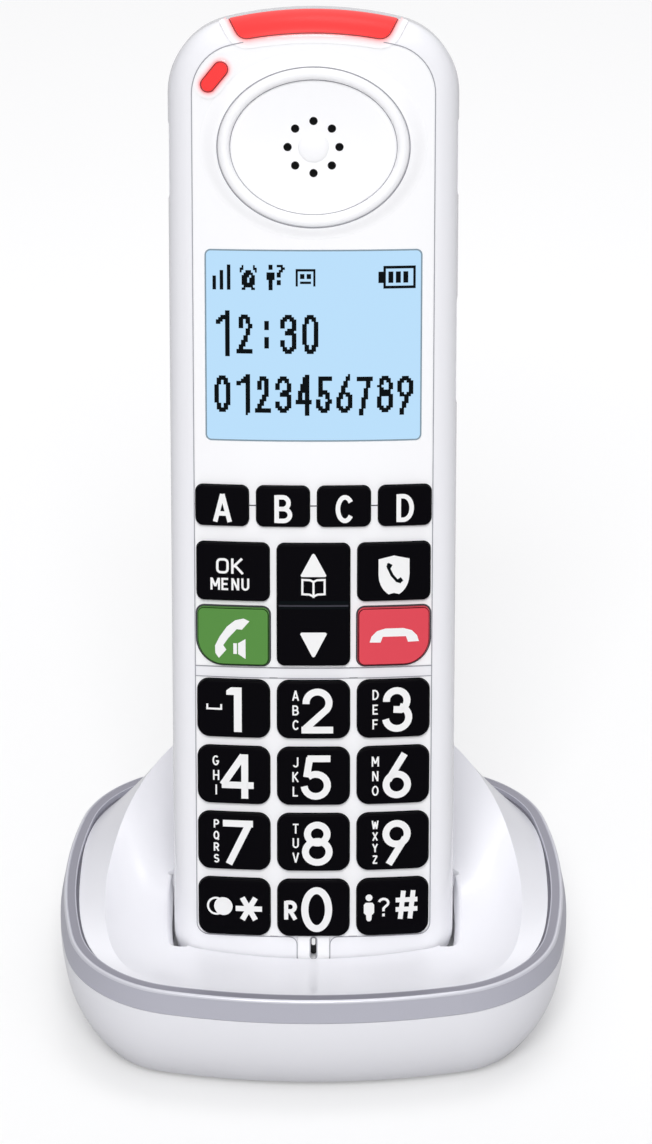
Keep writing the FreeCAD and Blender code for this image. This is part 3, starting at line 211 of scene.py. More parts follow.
# Each figure is one unit tall, as a list of centre lines for a pen FIGURE_PEN wide.
FIGURES = {
    "0": [arc(0.33, 0.5, 0.255, 0.425, 90, 450, 36)],
    "1": [[(0.3, 0), (0.3, 1)], [(0.08, 0.78), (0.3, 0.95)]],
    "2": [arc(0.37, 0.68, 0.25, 0.245, 186, -38) + [(0.1, 0.1)], [(0.02, 0.072), (0.71, 0.072)]],
    "3": [arc(0.33, 0.7, 0.225, 0.225, 185, -65) + [(0.26, 0.505)],
          arc(0.34, 0.325, 0.255, 0.25, 78, -172)],
    "4": [[(0.535, 0), (0.535, 1)], [(0.5, 0.97), (0.05, 0.3)], [(0.03, 0.3), (0.73, 0.3)]],
    "5": [[(0.15, 0.925), (0.65, 0.925)], [(0.2, 0.95), (0.13, 0.51)],
          arc(0.33, 0.326, 0.255, 0.25, 130, -175)],
    "6": [arc(0.31, 0.31, 0.235, 0.235, 0, 360, 30), [(0.48, 1), (0.12, 0.41)]],
    "7": [[(0, 0.925), (0.66, 0.925)], [(0.58, 0.93), (0.13, 0)]],
    "8": [arc(0.33, 0.72, 0.215, 0.205, 0, 360, 30), arc(0.33, 0.315, 0.26, 0.24, 0, 360, 30)],
    "9": [arc(0.31, 0.69, 0.235, 0.235, 0, 360, 30), [(0.5, 0.59), (0.14, 0)]],
    "A": [[(0.05, 0), (0.31, 1)], [(0.31, 1), (0.57, 0)], [(0.15, 0.3), (0.47, 0.3)]],
    "B": [STEM, [(0.08, 0.925)] + arc(0.3, 0.715, 0.2, 0.21, 90, -90) + [(0.08, 0.505)],
          [(0.08, 0.505)] + arc(0.32, 0.29, 0.23, 0.215, 90, -90) + [(0.08, 0.075)]],
    "C": [arc(0.32, 0.5, 0.25, 0.425, 35, 325)],
    "D": [STEM, [(0.08, 0.925)] + arc(0.24, 0.5, 0.3, 0.425, 90, -90) + [(0.08, 0.075)]],
    "E": [STEM, [(0.08, 0.925), (0.52, 0.925)], [(0.08, 0.5), (0.47, 0.5)], [(0.08, 0.075), (0.52, 0.075)]],
    "F": [STEM, [(0.08, 0.925), (0.52, 0.925)], [(0.08, 0.5), (0.47, 0.5)]],
    "G": [arc(0.32, 0.5, 0.25, 0.425, 45, 350), [(0.34, 0.44), (0.62, 0.44)]],
    "H": [STEM, [(0.54, 0), (0.54, 1)], [(0.08, 0.5), (0.54, 0.5)]],
    "I": [[(0.3, 0), (0.3, 1)]],
    "J": [[(0.46, 1)] + arc(0.26, 0.29, 0.2, 0.215, 0, -165)],
    "K": [STEM, [(0.12, 0.45), (0.54, 1)], [(0.2, 0.55), (0.58, 0)]],
    "L": [STEM, [(0.08, 0.075), (0.52, 0.075)]],
    "M": [STEM, [(0.64, 0), (0.64, 1)], [(0.1, 0.97), (0.36, 0.3)], [(0.36, 0.3), (0.62, 0.97)]],
    "N": [STEM, [(0.54, 0), (0.54, 1)], [(0.1, 0.97), (0.52, 0.03)]],
    "O": [arc(0.32, 0.5, 0.25, 0.425, 90, 450, 30)],
    "P": [STEM, [(0.08, 0.925)] + arc(0.3, 0.69, 0.23, 0.235, 90, -90) + [(0.08, 0.455)]],
    "Q": [arc(0.32, 0.5, 0.25, 0.425, 90, 450, 30), [(0.36, 0.24), (0.6, -0.03)]],
    "R": [STEM, [(0.08, 0.925)] + arc(0.3, 0.69, 0.23, 0.235, 90, -90) + [(0.08, 0.455)],
          [(0.3, 0.45), (0.56, 0)]],
    "S": [arc(0.31, 0.715, 0.22, 0.21, 25, 270) + arc(0.31, 0.29, 0.23, 0.215, 90, -155)],
    "T": [[(0.3, 0), (0.3, 1)], [(0.02, 0.925), (0.58, 0.925)]],
    "U": [[(0.08, 1)] + arc(0.31, 0.32, 0.23, 0.245, 180, 360) + [(0.54, 1)]],
    "V": [[(0.04, 1), (0.3, 0)], [(0.3, 0), (0.56, 1)]],
    "W": [[(0.02, 1), (0.18, 0)], [(0.18, 0), (0.34, 0.85)], [(0.34, 0.85), (0.5, 0)], [(0.5, 0), (0.66, 1)]],
    "X": [[(0.04, 0), (0.56, 1)], [(0.04, 1), (0.56, 0)]],
    "Y": [[(0.04, 1), (0.3, 0.45)], [(0.56, 1), (0.3, 0.45)], [(0.3, 0.47), (0.3, 0)]],
    "Z": [[(0.04, 0.925), (0.56, 0.925)], [(0.52, 0.92), (0.08, 0.08)], [(0.04, 0.075), (0.56, 0.075)]],
    "?": [arc(0.29, 0.72, 0.23, 0.205, 165, -60) + [(0.29, 0.42), (0.29, 0.27)], [(0.29, 0.0), (0.29, 0.15)]],
    ":": [[(0.3, 0.2), (0.3, 0.36)], [(0.3, 0.62), (0.3, 0.78)]],
}


def figure(character, x, y, tall, wide=None):
    """A figure's centre lines in millimetres, with its middle at x, its foot at y and, if asked, a width."""
    lines = FIGURES[character]
    left = min(point[0] for line in lines for point in line)
    right = max(point[0] for line in lines for point in line)
    stretch = (wide - FIGURE_PEN * tall) / (right - left) / tall if wide else 1
    middle = (left + right) / 2
    return [[(x + (px - middle) * tall * stretch, y + py * tall) for px, py in line] for line in lines]


def ribbon(line, width):
    """The two edges of a pen stroke along a line, with square ends and mitred corners."""
    points = [Vector(point) for point in line]
    points = [point for index, point in enumerate(points)
              if index == 0 or (point - points[index - 1]).length > 1e-6]
    closed = (points[0] - points[-1]).length < 1e-5
    edges = []
    for index, point in enumerate(points):
        before = points[index - 1] if index else (points[-2] if closed else None)
        after = points[index + 1] if index + 1 < len(points) else (points[1] if closed else None)
        ways = [(end - start).normalized() for start, end in ((before, point), (point, after))
                if start and end]
        way = sum(ways, Vector((0, 0))).normalized()
        side = Vector((-way.y, way.x))
        stretch = 1 / max(way.dot(ways[0]), 0.5)
        edges.append((point + side * width / 2 * stretch, point - side * width / 2 * stretch))
    return edges


STROKE_STEP = 0.0004


def print_on(name, body, strokes, fills, proud, material, lift=0.02):
    """Print strokes, as (line, width), and filled outlines on the crowned face, a lift above its surface.

    Each stroke lies a little above the one before, so that crossing strokes don't fight for one plane.
    """
    bm = bmesh.new()
    for layer, (line, width) in enumerate(strokes):
        rails = [[bm.verts.new((point.x, point.y, STROKE_STEP * layer)) for point in pair]
                 for pair in ribbon(line, width)]
        for one, two in zip(rails, rails[1:]):
            bm.faces.new((one[0], one[1], two[1], two[0]))
    for outline in fills:
        bm.faces.new([bm.verts.new((x, y, 0)) for x, y in outline])
    bmesh.ops.triangulate(bm, faces=[face for face in bm.faces if len(face.verts) > 4])
    low = math.floor(min(vert.co.x for vert in bm.verts))
    high = math.ceil(max(vert.co.x for vert in bm.verts))
    for cut in range(low, high + 1):
        bmesh.ops.bisect_plane(bm, geom=bm.verts[:] + bm.edges[:] + bm.faces[:], plane_co=(cut, 0, 0),
                               plane_no=(1, 0, 0))
    for vert in bm.verts:
        x, height, layer = vert.co
        vert.co = at(x, crown_depth(x, proud) - lift - layer, height)
    face_outward(bm)
    return add_piece(name, bm, material, body)


# ---------------------------------------------------------------- the keys' legends
PRINT_WHITE = moulded("print_white", from_hex("F2F2F2"), 0.5, mottle=0.01)
PRINT_BLACK = moulded("print_black", from_hex("0A0F12"), 0.6, mottle=0.01, specular=0.03)
COLUMN, ROW_TOP, ROW_PITCH = 13.75, 49.15, 11.83
DIGIT_TALL, DIGIT_PEN = 7.9, 1.2
LETTER_SIDE, LETTER_PEN = -3.08, 0.27


def shifted(outline, x, y):
    """An outline moved to a place."""
    return [(px + x, py + y) for px, py in outline]


def rounded_path(x, y, wide, tall, corner):
    """A closed rounded rectangle about a point, as one line."""
    half_x, half_y = wide / 2 - corner, tall / 2 - corner
    line = []
    for turn, (side, end) in zip((0, 90, 180, 270), ((1, 1), (-1, 1), (-1, -1), (1, -1))):
        line += arc(x + side * half_x, y + end * half_y, corner, corner, turn, turn + 90, 6)
    return line + line[:1]


def drawn(character, x, y, tall, pen, wide=None):
    """A figure as strokes, centred on a point."""
    return [(line, pen) for line in figure(character, x, y - tall / 2, tall, wide)]


def legend(name, key, strokes, fills):
    """A white legend on the top of a key."""
    print_on(name, key, strokes, fills, KEY_PROUD, PRINT_WHITE)


def digit_legends():
    """Each dialling key: a large figure, and its letters in a column beside it."""
    letters = ["", "ABC", "DEF", "GHI", "JKL", "MNO", "PQRS", "TUV", "WXYZ"]
    for index, group in enumerate(letters):
        row, column = divmod(index, 3)
        x, y = (column - 1) * COLUMN, ROW_TOP - row * ROW_PITCH
        strokes = drawn(str(index + 1), x + 0.65, y - 0.1, DIGIT_TALL, DIGIT_PEN)
        tall, pitch = (1.78, 2.6) if len(group) < 4 else (1.5, 2.08)
        for place, letter in enumerate(group):
            height = y + ((len(group) - 1) / 2 - place) * pitch
            strokes += drawn(letter, x + LETTER_SIDE, height, tall, LETTER_PEN)
        fills = []
        if not group:
            one = [(0.1, 3.95), (1.95, 3.95), (1.95, -3.95), (0.6, -3.95), (0.6, 2.6), (-0.7, 2.6),
                   (-0.7, 3.35)]
            fills = [shifted(one, x - 0.55, y - 0.1)]
            strokes = []
            mark = [(-1.2, 0.5), (-1.2, -0.35), (1.2, -0.35), (1.2, 0.5)]
            strokes.append((shifted(mark, x - 3.35, y + 0.3), 0.33))
        legend(f"legend_{index + 1}", f"key_{index + 1}", strokes, fills)


def bottom_row_legends():
    """The star, nought and hash keys, with their small signs."""
    y = ROW_TOP - 3 * ROW_PITCH
    x = -COLUMN
    star_x, star_y, star_reach, star_pen = x + 2.5, y - 0.2, 2.3, 0.95
    arms = []
    for turn in (0, math.pi / 3, -math.pi / 3):
        along_x, along_y = math.cos(turn) * star_reach, math.sin(turn) * star_reach
        arm = [(star_x - along_x, star_y - along_y), (star_x + along_x, star_y + along_y)]
        arms.append((arm, star_pen))
    disc_radius, ring_radius = 1.62, 1.45
    disc = arc(x - 1.95, y + 0.1, disc_radius, disc_radius, 0, 348, 29)
    ring = arc(x - 3.2, y + 0.1, ring_radius, ring_radius, 0, 360, 30)
    legend("legend_star", "key_star", arms + [(ring, 0.36)], [disc])
    nought = drawn("0", 0.55, y - 0.15, 8.1, 1.25) + drawn("R", -3.95, y - 0.3, 3.35, 0.72)
    legend("legend_0", "key_0", nought, [])
    x = COLUMN
    hash_lines, hash_pen = [], 0.85
    for aside in (-0.85, 0.85):
        hash_lines.append(([(x + 2.2 + aside, y - 2.2), (x + 2.75 + aside, y + 2.9)], hash_pen))
        hash_lines.append(([(x + 0.55, y + 0.4 + aside), (x + 4.35, y + 0.4 + aside)], hash_pen))
    right_side = [(0.6, 0.95), (0.9, 0.55), (0.9, -0.9), (0.5, -1.3), (0.45, -2.1), (0.2, -2.4)]
    left_side = [(-px, py) for px, py in right_side]
    body = left_side[1::-1] + right_side + left_side[:1:-1]
    person = [shifted(body, x - 4.1, y), arc(x - 4.1, y + 1.85, 0.6, 0.6, 0, 345, 23)]
    question = drawn("?", x - 1.55, y + 0.1, 3.4, 0.45, 2.1)
    legend("legend_hash", "key_hash", hash_lines + question, person)


MEMORY_ROW, MEMORY_PITCH, FUNCTION_ROW, CALL_ROW = 84.65, 10.37, 73.2, 61.95


def function_legends():
    """The memory keys' letters, and the signs on the function keys."""
    for index, letter in enumerate("ABCD"):
        x = (index - 1.5) * MEMORY_PITCH
        strokes = drawn(letter, x + 0.05, MEMORY_ROW - 0.35, 4.8, 0.78)
        legend(f"legend_{letter}", f"key_memory_{letter.lower()}", strokes, [])
    x, y = -COLUMN - 0.45, FUNCTION_ROW
    strokes = [(rounded_path(x - 1.35, y + 1.05, 1.75, 2.25, 0.6), 0.42)]
    strokes += drawn("K", x + 1.25, y + 1.05, 2.66, 0.42, 2.2)
    for place, letter in enumerate("MENU"):
        strokes += drawn(letter, x - 2.6 + place * 1.72, y - 2.1, 2.1, 0.36, 1.6 if letter == "M" else 1.3)
    legend("legend_menu", "key_ok_menu", strokes, [])
    shield_side = [(2.65, 2.3), (2.65, -0.4)] + arc(-0.65, -0.4, 3.3, 3.9, -14, -62, 8)
    shield = [(0, 2.9)] + shield_side + [(0, -3.6)] + [(-px, py) for px, py in reversed(shield_side)]
    legend("legend_shield", "key_block", [], [shifted(shield, COLUMN, y)])
    receiver = [(-0.95, 1.55), (-1.0, 0.9), (-0.35, -0.5), (0.5, -1.5), (1.25, -1.75)]
    ends = [([(-1.15, 1.35), (-0.45, 0.95)], 0.75), ([(0.85, -1.1), (1.3, -1.75)], 0.75)]
    dark = [(shifted(receiver, COLUMN, y), 0.5)] + [(shifted(line, COLUMN, y), pen) for line, pen in ends]
    print_on("legend_shield_receiver", "key_block", dark, [], KEY_PROUD, PRINT_BLACK,
             lift=0.04)


def call_legends():
    """The talk key's raised receiver and loudspeaker, and the end key's lying receiver."""
    x, y = -COLUMN, CALL_ROW
    receiver = [(2.79, 2.74), (1.76, 3.2), (0.34, 2.87), (-1.09, 1.7), (-2.38, -0.13), (-3.15, -1.7),
                (-3.1, -3.0), (-2.5, -3.84), (-1.2, -2.35), (-1.73, -1.57), (-0.83, -0.26), (0.6, 1.3),
                (1.5, 1.23)]
    speaker = [(0, -1.17), (0.62, -1.17), (0.62, -3.05), (0, -3.05)]
    horn = [(0.82, -1.17), (2.1, -0.39), (2.1, -3.9), (0.82, -3.05)]
    legend("legend_talk", "key_talk", [], [shifted(shape, x, y) for shape in (receiver, speaker, horn)])
    half = [(0.1, 1.44), (1.65, 1.44), (3.1, 1.0), (4.0, 0.1), (4.35, -0.95), (2.45, -1.0), (2.1, 0),
            (0.1, 0)]
    lying = half + [(0.2 - px, py) for px, py in reversed(half[1:-1])]
    legend("legend_end", "key_end", [], [shifted(lying, COLUMN, CALL_ROW)])


def rocker_legends():
    """The rocker: an up arrow over an open book, a groove drawn in painted shade with a painted highlight along
    it, and a down arrow.
    """
    up = [(-2.2, 72.8), (-2.05, 72.55), (2.05, 72.55), (2.2, 72.8), (0.25, 76.45), (0, 76.6), (-0.25, 76.45)]
    down = [(-2.3, 62.6), (-2.05, 62.85), (2.05, 62.85), (2.3, 62.6), (0.25, 58.65), (0, 58.5),
            (-0.25, 58.65)]
    page = [(0, 71.7), (0.6, 72.0), (1.9, 72.05), (1.9, 69.55), (0.7, 69.5), (0, 69.15), (0, 71.7)]
    other = [(-px, py) for px, py in page]
    # Painted shade: the groove's shade is drawn as two black strokes.
    groove = [([(-5.95, height), (5.95, height)], pen) for height, pen in ((68.05, 0.6), (67.1, 0.35))]
    print_on("rocker_groove_shade", "key_nav_rocker", groove, [], KEY_PROUD, PRINT_BLACK)
    # Painted highlight: a grey bar along the middle of the groove.
    groove_highlight = moulded("rocker_groove_highlight", from_hex("33323C"), 0.4, mottle=0.02, specular=0.3)
    print_on("rocker_groove_highlight", "key_nav_rocker", [([(-5.95, 67.5), (5.95, 67.5)], 0.3)], [], KEY_PROUD, groove_highlight)
    legend("legend_rocker", "key_nav_rocker", [(page, 0.36), (other, 0.36)], [up, down])


# ---------------------------------------------------------------- the display
def pixels(lines, pen, cell):
    """Strokes as a display draws them: rows of square cells, as filled outlines."""
    points = [point for line in lines for point in line]
    low_x, high_x = min(p[0] for p in points) - pen, max(p[0] for p in points) + pen
    low_y, high_y = min(p[1] for p in points) - pen, max(p[1] for p in points) + pen

    def is_inked(x, y):
        spot = Vector((x, y))
        for line in lines:
            for start, end in zip(line, line[1:]):
                start, end = Vector(start), Vector(end)
                along = end - start
                share = max(0, min(1, (spot - start).dot(along) / max(along.length_squared, 1e-9)))
                if (start + along * share - spot).length < pen / 2:
                    return True
        return False

    fills = []
    for row in range(int((high_y - low_y) / cell) + 1):
        y = low_y + (row + 0.5) * cell
        run = None
        for column in range(int((high_x - low_x) / cell) + 2):
            x = low_x + (column + 0.5) * cell
            if is_inked(x, y):
                run = column if run is None else run
            elif run is not None:
                start, end = low_x + run * cell, low_x + column * cell
                fills.append(display_box(start, end, y - cell / 2, y + cell / 2))
                run = None
    return fills


def display_box(left, right, low, high):
    """A filled rectangle on the display."""
    return [(left, low), (right, low), (right, high), (left, high)]


CLOCK = [
    ".X.....X.",
    "XX.....XX",
    "X..XXX..X",
    "..XXXXX..",
    ".XXXX.XX.",
    ".XXX.XXX.",
    ".XXX.XXX.",
    ".XXXXXXX.",
    "..XXXXX..",
    ".XX...XX.",
]
CALLER = [
    ".XX..XXX.",
    ".XX....XX",
    "......XX.",
    "XXXX.XX..",
    "XXXX.XX..",
    "XXXX.....",
    ".XX..XX..",
    ".XX..XX..",
    ".XX......",
    ".XX......",
]
TAPE = [
    "XXXXXXXXX",
    "X.......X",
    "X.XX.XX.X",
    "X.XX.XX.X",
    "X.......X",
    "X.XXXXX.X",
    "X.......X",
]
BATTERY = [
    "..XXXXXXXXXXXXX",
    "..X...........X",
    "XXX.XX.XX.XX..X",
    "XXX.XX.XX.XX..X",
    "XXX.XX.XX.XX..X",
    "XXX.XX.XX.XX..X",
    "..X...........X",
    "..XXXXXXXXXXXXX",
]


def bitmap(rows, left, top, cell_x, cell_y):
    """The inked runs of a little picture, as filled outlines."""
    shapes = []
    for index, row in enumerate(rows):
        high = top - index * cell_y
        column = 0
        while column < len(row):
            start = column
            while column < len(row) and row[column] == "X":
                column += 1
            if column > start:
                shapes.append(display_box(left + start * cell_x, left + column * cell_x, high - cell_y, high))
            column += 1
    return shapes


def display_icons():
    """The status line: signal bars, an alarm clock, an unknown caller, a tape and a battery."""
    low = 121.5
    shapes = [display_box(-17.0 + 1.22 * step, -16.4 + 1.22 * step, low, low + 2.35 + 0.95 * step)
              for step in range(3)]
    shapes += bitmap(CLOCK, -12.4, low + 4.2, 0.32, 0.42)
    shapes += bitmap(CALLER, -7.9, low + 4.3, 0.345, 0.43)
    shapes += bitmap(TAPE, -3.0, low + 3.6, 0.37, 0.42)
    shapes += bitmap(BATTERY, 10.9, low + 4.05, 0.42, 0.48)
    return shapes


def display_text():
    """Two lines of figures: a time and a row of digits."""
    pen, cell = 0.78, 0.39
    shapes = []
    for place, character in enumerate("12:30"):
        wide = None if character in ":1" else 3.1
        shapes += pixels(figure(character, -15.3 + place * 3.7, 110.6, 7.1, wide), pen, cell)
    for place, character in enumerate("0123456789"):
        wide = None if character == "1" else 2.95
        shapes += pixels(figure(character, -15.4 + place * 3.44, 100.6, 6.35, wide), pen, cell)
    return shapes


def make_display():
    """The display's black figures on the window's surface, and the grey line round the window."""
    print_on("display_figures", "handset", [], display_icons() + display_text(), 0, PRINT_BLACK)
    border = moulded("window_border", from_hex("7D93A1"), 0.5, mottle=0.02)
    border_line = rounded_path(0, (WINDOW_LOW + WINDOW_HIGH) / 2, WINDOW_WIDE, WINDOW_HIGH - WINDOW_LOW, 0.9)
    print_on("display_border", "handset", [(border_line, 0.26)], [], 0, border, lift=0.03)


# ---------------------------------------------------------------- fine lines and relief on the face
WINDOW_LOW, WINDOW_HIGH, WINDOW_WIDE = 95.9, 128.2, 36.4
SEAM_GREY = moulded("seam_grey", from_hex("9C9CA4"), 0.6, mottle=0.02)
SEAM_PAINTED_SHADOW = moulded("seam_painted_shadow", from_hex("3C3C42"), 0.6, mottle=0.02)
SEAM_SIDE, CHIN, SEAM_TOP, SEAM_BOW, SEAM_CORNER = 20.35, 8.3, 163.85, 60.85, 8.35
PLATE_JOINTS = (56.4, 54.6)
FINE_LINE, SHADOW_LINE, SHADOW_HALF = 0.16, 0.2, 0.7


def seam_path(side):
    """The plates' outline on one side: tongue, chin, side, corner and the start of the top edge."""
    tongue, foot, flare, chin_corner = 2.85, 3.6, 1.4, 2.0
    centre_x = SEAM_SIDE - SEAM_CORNER
    bow_centre = SEAM_TOP - SEAM_BOW
    centre_y = bow_centre + math.sqrt((SEAM_BOW - SEAM_CORNER) ** 2 - centre_x ** 2)
    turn = math.degrees(math.atan2(centre_y - bow_centre, centre_x))
    path = [(tongue, foot)] + arc(tongue + flare, CHIN - flare, flare, flare, 180, 90, 6)
    path += arc(SEAM_SIDE - chin_corner, CHIN + chin_corner, chin_corner, chin_corner, -90, 0, 8)
    path += arc(centre_x, centre_y, SEAM_CORNER, SEAM_CORNER, 0, turn, 14)
    path += arc(0, bow_centre, SEAM_BOW, SEAM_BOW, turn, 79, 3)
    return [(side * x, y) for x, y in path]


def call_outline(side, grow):
    """The outline of a call key, whose outer lower corner is rounder, grown by a gap."""
    half_x, half_y, tight, wide = 6.175 + grow, 5.05 + grow, 1.2 + grow, 4.5 + grow
    line = arc(half_x - tight, half_y - tight, tight, tight, 0, 90, 6)
    line += arc(-half_x + tight, half_y - tight, tight, tight, 90, 180, 6)
    line += arc(-half_x + tight, -half_y + tight, tight, tight, 180, 270, 6)
    line += arc(half_x - wide, -half_y + wide, wide, wide, 270, 360, 12)
    return [(side * (x + COLUMN), y + CALL_ROW) for x, y in line + line[:1]]


def make_call_rims():
    """Painted shade: a dark line on the rounded edge round the top of the green and the red key."""
    for name, key, side, colour in (("talk", "key_talk", -1, "16340F"), ("end", "key_end", 1, "4C0C14")):
        # Painted shade: each rim is a darker copy of its key's colour.
        rim = moulded(f"rim_{name}", from_hex(colour), 0.5, mottle=0.02, specular=0.1)
        print_on(f"rim_{name}", key, [(call_outline(side, -0.22), 0.3)], [], KEY_PROUD, rim,
                 lift=-0.02)


def make_microphone_slot():
    """The grey line round the microphone's slot, and the pale light pipe in its upper end."""
    print_on("slot_line", "handset", [(rounded_path(0, 6.3, 1.2, 4.0, 0.59), FINE_LINE)], [], 0, SEAM_GREY)
    pipe = rounded_path(0, 7.35, 0.66, 1.3, 0.3)
    print_on("slot_pipe", "handset", [], [pipe[:-1]], -0.35, PRINT_WHITE)


def make_seams():
    """The fine lines where the plates meet the frame and each other, and painted shadow in the gaps between keys
    and round the call keys.
    """
    across = [([(-SEAM_SIDE, height), (SEAM_SIDE, height)], 0.14) for height in PLATE_JOINTS]
    plate_edges = [(seam_path(side), FINE_LINE) for side in (-1, 1)]
    print_on("seam_lines", "handset", plate_edges + across, [], 0, SEAM_GREY, lift=0.1)
    # Painted shadow: short dark strokes in the gaps between keys, and a dark line round each call key's foot.
    places = [(middle, MEMORY_ROW + 0.05) for middle in (-MEMORY_PITCH, 0, MEMORY_PITCH)]
    places += [(middle, height) for middle in (-COLUMN / 2, COLUMN / 2) for height in (*PLATE_JOINTS, CHIN)]
    dark = [([(middle - SHADOW_HALF, height), (middle + SHADOW_HALF, height)], SHADOW_LINE)
            for middle, height in places]
    dark += [(call_outline(side, 0.1), 0.4) for side in (-1, 1)]
    print_on("seam_shadows", "handset", dark, [], 0, SEAM_PAINTED_SHADOW)


FACE_NODES = ["handset_front_frame", "face_plate", "ringer_lamp_lens", "message_lamp_lens",
              "function_key_plate", "digit_key_plate"]
RAY_START, RAY_REACH = -20, 60 * MM
NEARBY, STEEPEST = 0.3, -0.3


def tree_of(name):
    """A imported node's surface, ready for rays in the parts' own frame."""
    node = frame["nodes"][name]
    points = [node.matrix_world @ vertex.co for vertex in node.data.vertices]
    return BVHTree.FromPolygons(points, [polygon.vertices[:] for polygon in node.data.polygons])


SKIN = [tree_of(name) for name in FACE_NODES]


def on_skin(x, height, lift):
    """The point of the handset's front at (x, height), lifted off it, or None beside the handset.

    The highest of a few points close by is taken, so that the skin bridges the fine gaps between the parts.
    """
    hits = []
    for aside, above in ((0, 0), (-NEARBY, 0), (NEARBY, 0), (0, -NEARBY), (0, NEARBY)):
        for tree in SKIN:
            start = at(x + aside, RAY_START, height + above)
            point, normal, _, _ = tree.ray_cast(start, INTO, RAY_REACH)
            if point:
                hits.append(((point - FOOT).dot(INTO), normal))
    if not hits:
        return None
    depth, normal = min(hits, key=lambda hit: hit[0])
    if normal.dot(INTO) > 0:
        normal = -normal
    if normal.dot(INTO) > STEEPEST:
        normal = -INTO
    return at(x, depth / MM, height) + normal * (lift * MM)


def painted_lamp_light_material():
    """White plastic with painted red lamp light on it, stronger towards a lamp, by a colour held on its mesh."""
    material = moulded("lamp_glow", PLATE_WHITE, 0.25, coat=0.3)
    tree = material.node_tree
    shader = tree.nodes["Principled BSDF"]
    held = add_node(tree, "ShaderNodeVertexColor", layer_name="glow")
    lamp_light_tint = add_node(tree, "ShaderNodeMix", data_type="RGBA")
    lamp_light_tint.inputs[6].default_value = (*PLATE_WHITE, 1)
    lamp_light_tint.inputs[7].default_value = (*from_hex("FF5A5A"), 1)
    tree.links.new(held.outputs["Color"], lamp_light_tint.inputs["Factor"])
    tree.links.new(lamp_light_tint.outputs[2], shader.inputs["Base Color"])
    # Painted light: the band also glows red by itself, most strongly at the lamp.
    shader.inputs["Emission Color"].default_value = (*from_hex("FF4040"), 1)
    power = add_node(tree, "ShaderNodeMath", operation="MULTIPLY")
    power.inputs[1].default_value = 0.3
    tree.links.new(held.outputs["Color"], power.inputs[0])
    tree.links.new(power.outputs["Value"], shader.inputs["Emission Strength"])
    return material


GLOW_LIFT = 0.07


def halo(name, outline, reach, closed, material, lift=GLOW_LIFT):
    """A band on the skin that fades away from a lamp's outline, which turns anticlockwise round the lamp."""
    steps = 7
    points = [Vector(point) for point in outline]
    count = len(points)
    bm = bmesh.new()
    # The glow layer holds how much painted lamp light each corner of the band gets.
    glow = bm.loops.layers.float_color.new("glow")
    rows = []
    for index, point in enumerate(points):
        before = points[index - 1] if index or closed else point
        after = points[(index + 1) % count] if index + 1 < count or closed else point
        way = (after - before).normalized()
        out = Vector((way.y, -way.x))
        row = []
        for step in range(steps + 1):
            place = point + out * (reach * step / steps)
            spot = on_skin(place.x, place.y, lift)
            row.append(bm.verts.new(spot) if spot else None)
        rows.append(row)
    pairs = list(zip(rows, rows[1:])) + ([(rows[-1], rows[0])] if closed else [])
    for one, two in pairs:
        for step in range(steps):
            corners = (one[step], one[step + 1], two[step + 1], two[step])
            if None in corners:
                continue
            face = bm.faces.new(corners)
            face.smooth = True
            for loop, level in zip(face.loops, (step, step + 1, step + 1, step)):
                share = (1 - level / steps) ** 2.2
                loop[glow] = (share, share, share, 1)
    face_outward(bm)
    return add_piece(name, bm, material, "handset")


def stretched(line, spacing=0.6):
    """A line with points added so that none are further apart than the spacing."""
    full = []
    for start, end in zip(line, line[1:]):
        pieces = max(1, math.ceil((Vector(end) - Vector(start)).length / spacing))
        full += [tuple(Vector(start).lerp(Vector(end), step / pieces)) for step in range(pieces)]
    return full + [line[-1]]


def rounded_turns(line, index, radius):
    """A line with the turn at one of its points rounded, in place of its points within the radius."""
    corner, start = Vector(line[index]), Vector(line[index - 1])
    end = next(Vector(point) for point in line[index + 1:] if (Vector(point) - corner).length > radius)
    rest = [point for point in line[index + 1:] if (Vector(point) - corner).length > radius]
    first = corner + (start - corner).normalized() * radius
    last = corner + (end - corner).normalized() * radius
    bend = []
    for step in range(7):
        share = step / 6
        bend.append(tuple(first.lerp(corner, share).lerp(corner.lerp(last, share), share)))
    return line[:index] + bend + rest


def make_lamp_glow():
    """The painted red lamp light round the call lamp and the message lamp, and the dark lines round both."""
    material = painted_lamp_light_material()
    foot_half, top_half, low, high, foot_corner = 12.1, 14.25, 163.1, 166.85, 1.6
    bow = SEAM_BOW
    sag = bow - math.sqrt(bow ** 2 - foot_half ** 2)
    start = math.degrees(math.asin(foot_half / bow))
    under = arc(0, low + sag - bow, bow, bow, 90 + start, 90 - start, 30)
    call = rounded_turns([(-top_half, high)] + under + [(top_half, high)], 1, foot_corner)
    call = stretched(rounded_turns(call[::-1], 1, foot_corner)[::-1])
    halo("call_lamp_glow", call, 1.7, False, material)
    tilt, half_length, radius = 50.5, 1.65, 1.16
    along = Vector((math.cos(math.radians(tilt)), math.sin(math.radians(tilt)))) * half_length
    middle = Vector((-16.5, 157))
    near, far = middle - along, middle + along
    message = arc(near.x, near.y, radius, radius, tilt + 90, tilt + 270, 12)
    message += arc(far.x, far.y, radius, radius, tilt - 90, tilt + 90, 12)
    halo("message_lamp_glow", message, 1.25, True, material)
    line = moulded("lamp_line", from_hex("7A1414"), 0.5, mottle=0.02)
    for name, outline, closed in (("message_lamp_line", message, True), ("call_lamp_line", call, False)):
        halo(name, outline, FINE_LINE, closed, line, lift=2 * GLOW_LIFT)


# ---------------------------------------------------------------- the cradle's waist
RING = tree_of("base_trim_ring")
RING_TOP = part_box("base_trim_ring")[1].z / MM


WAIST_REACH = 0.1


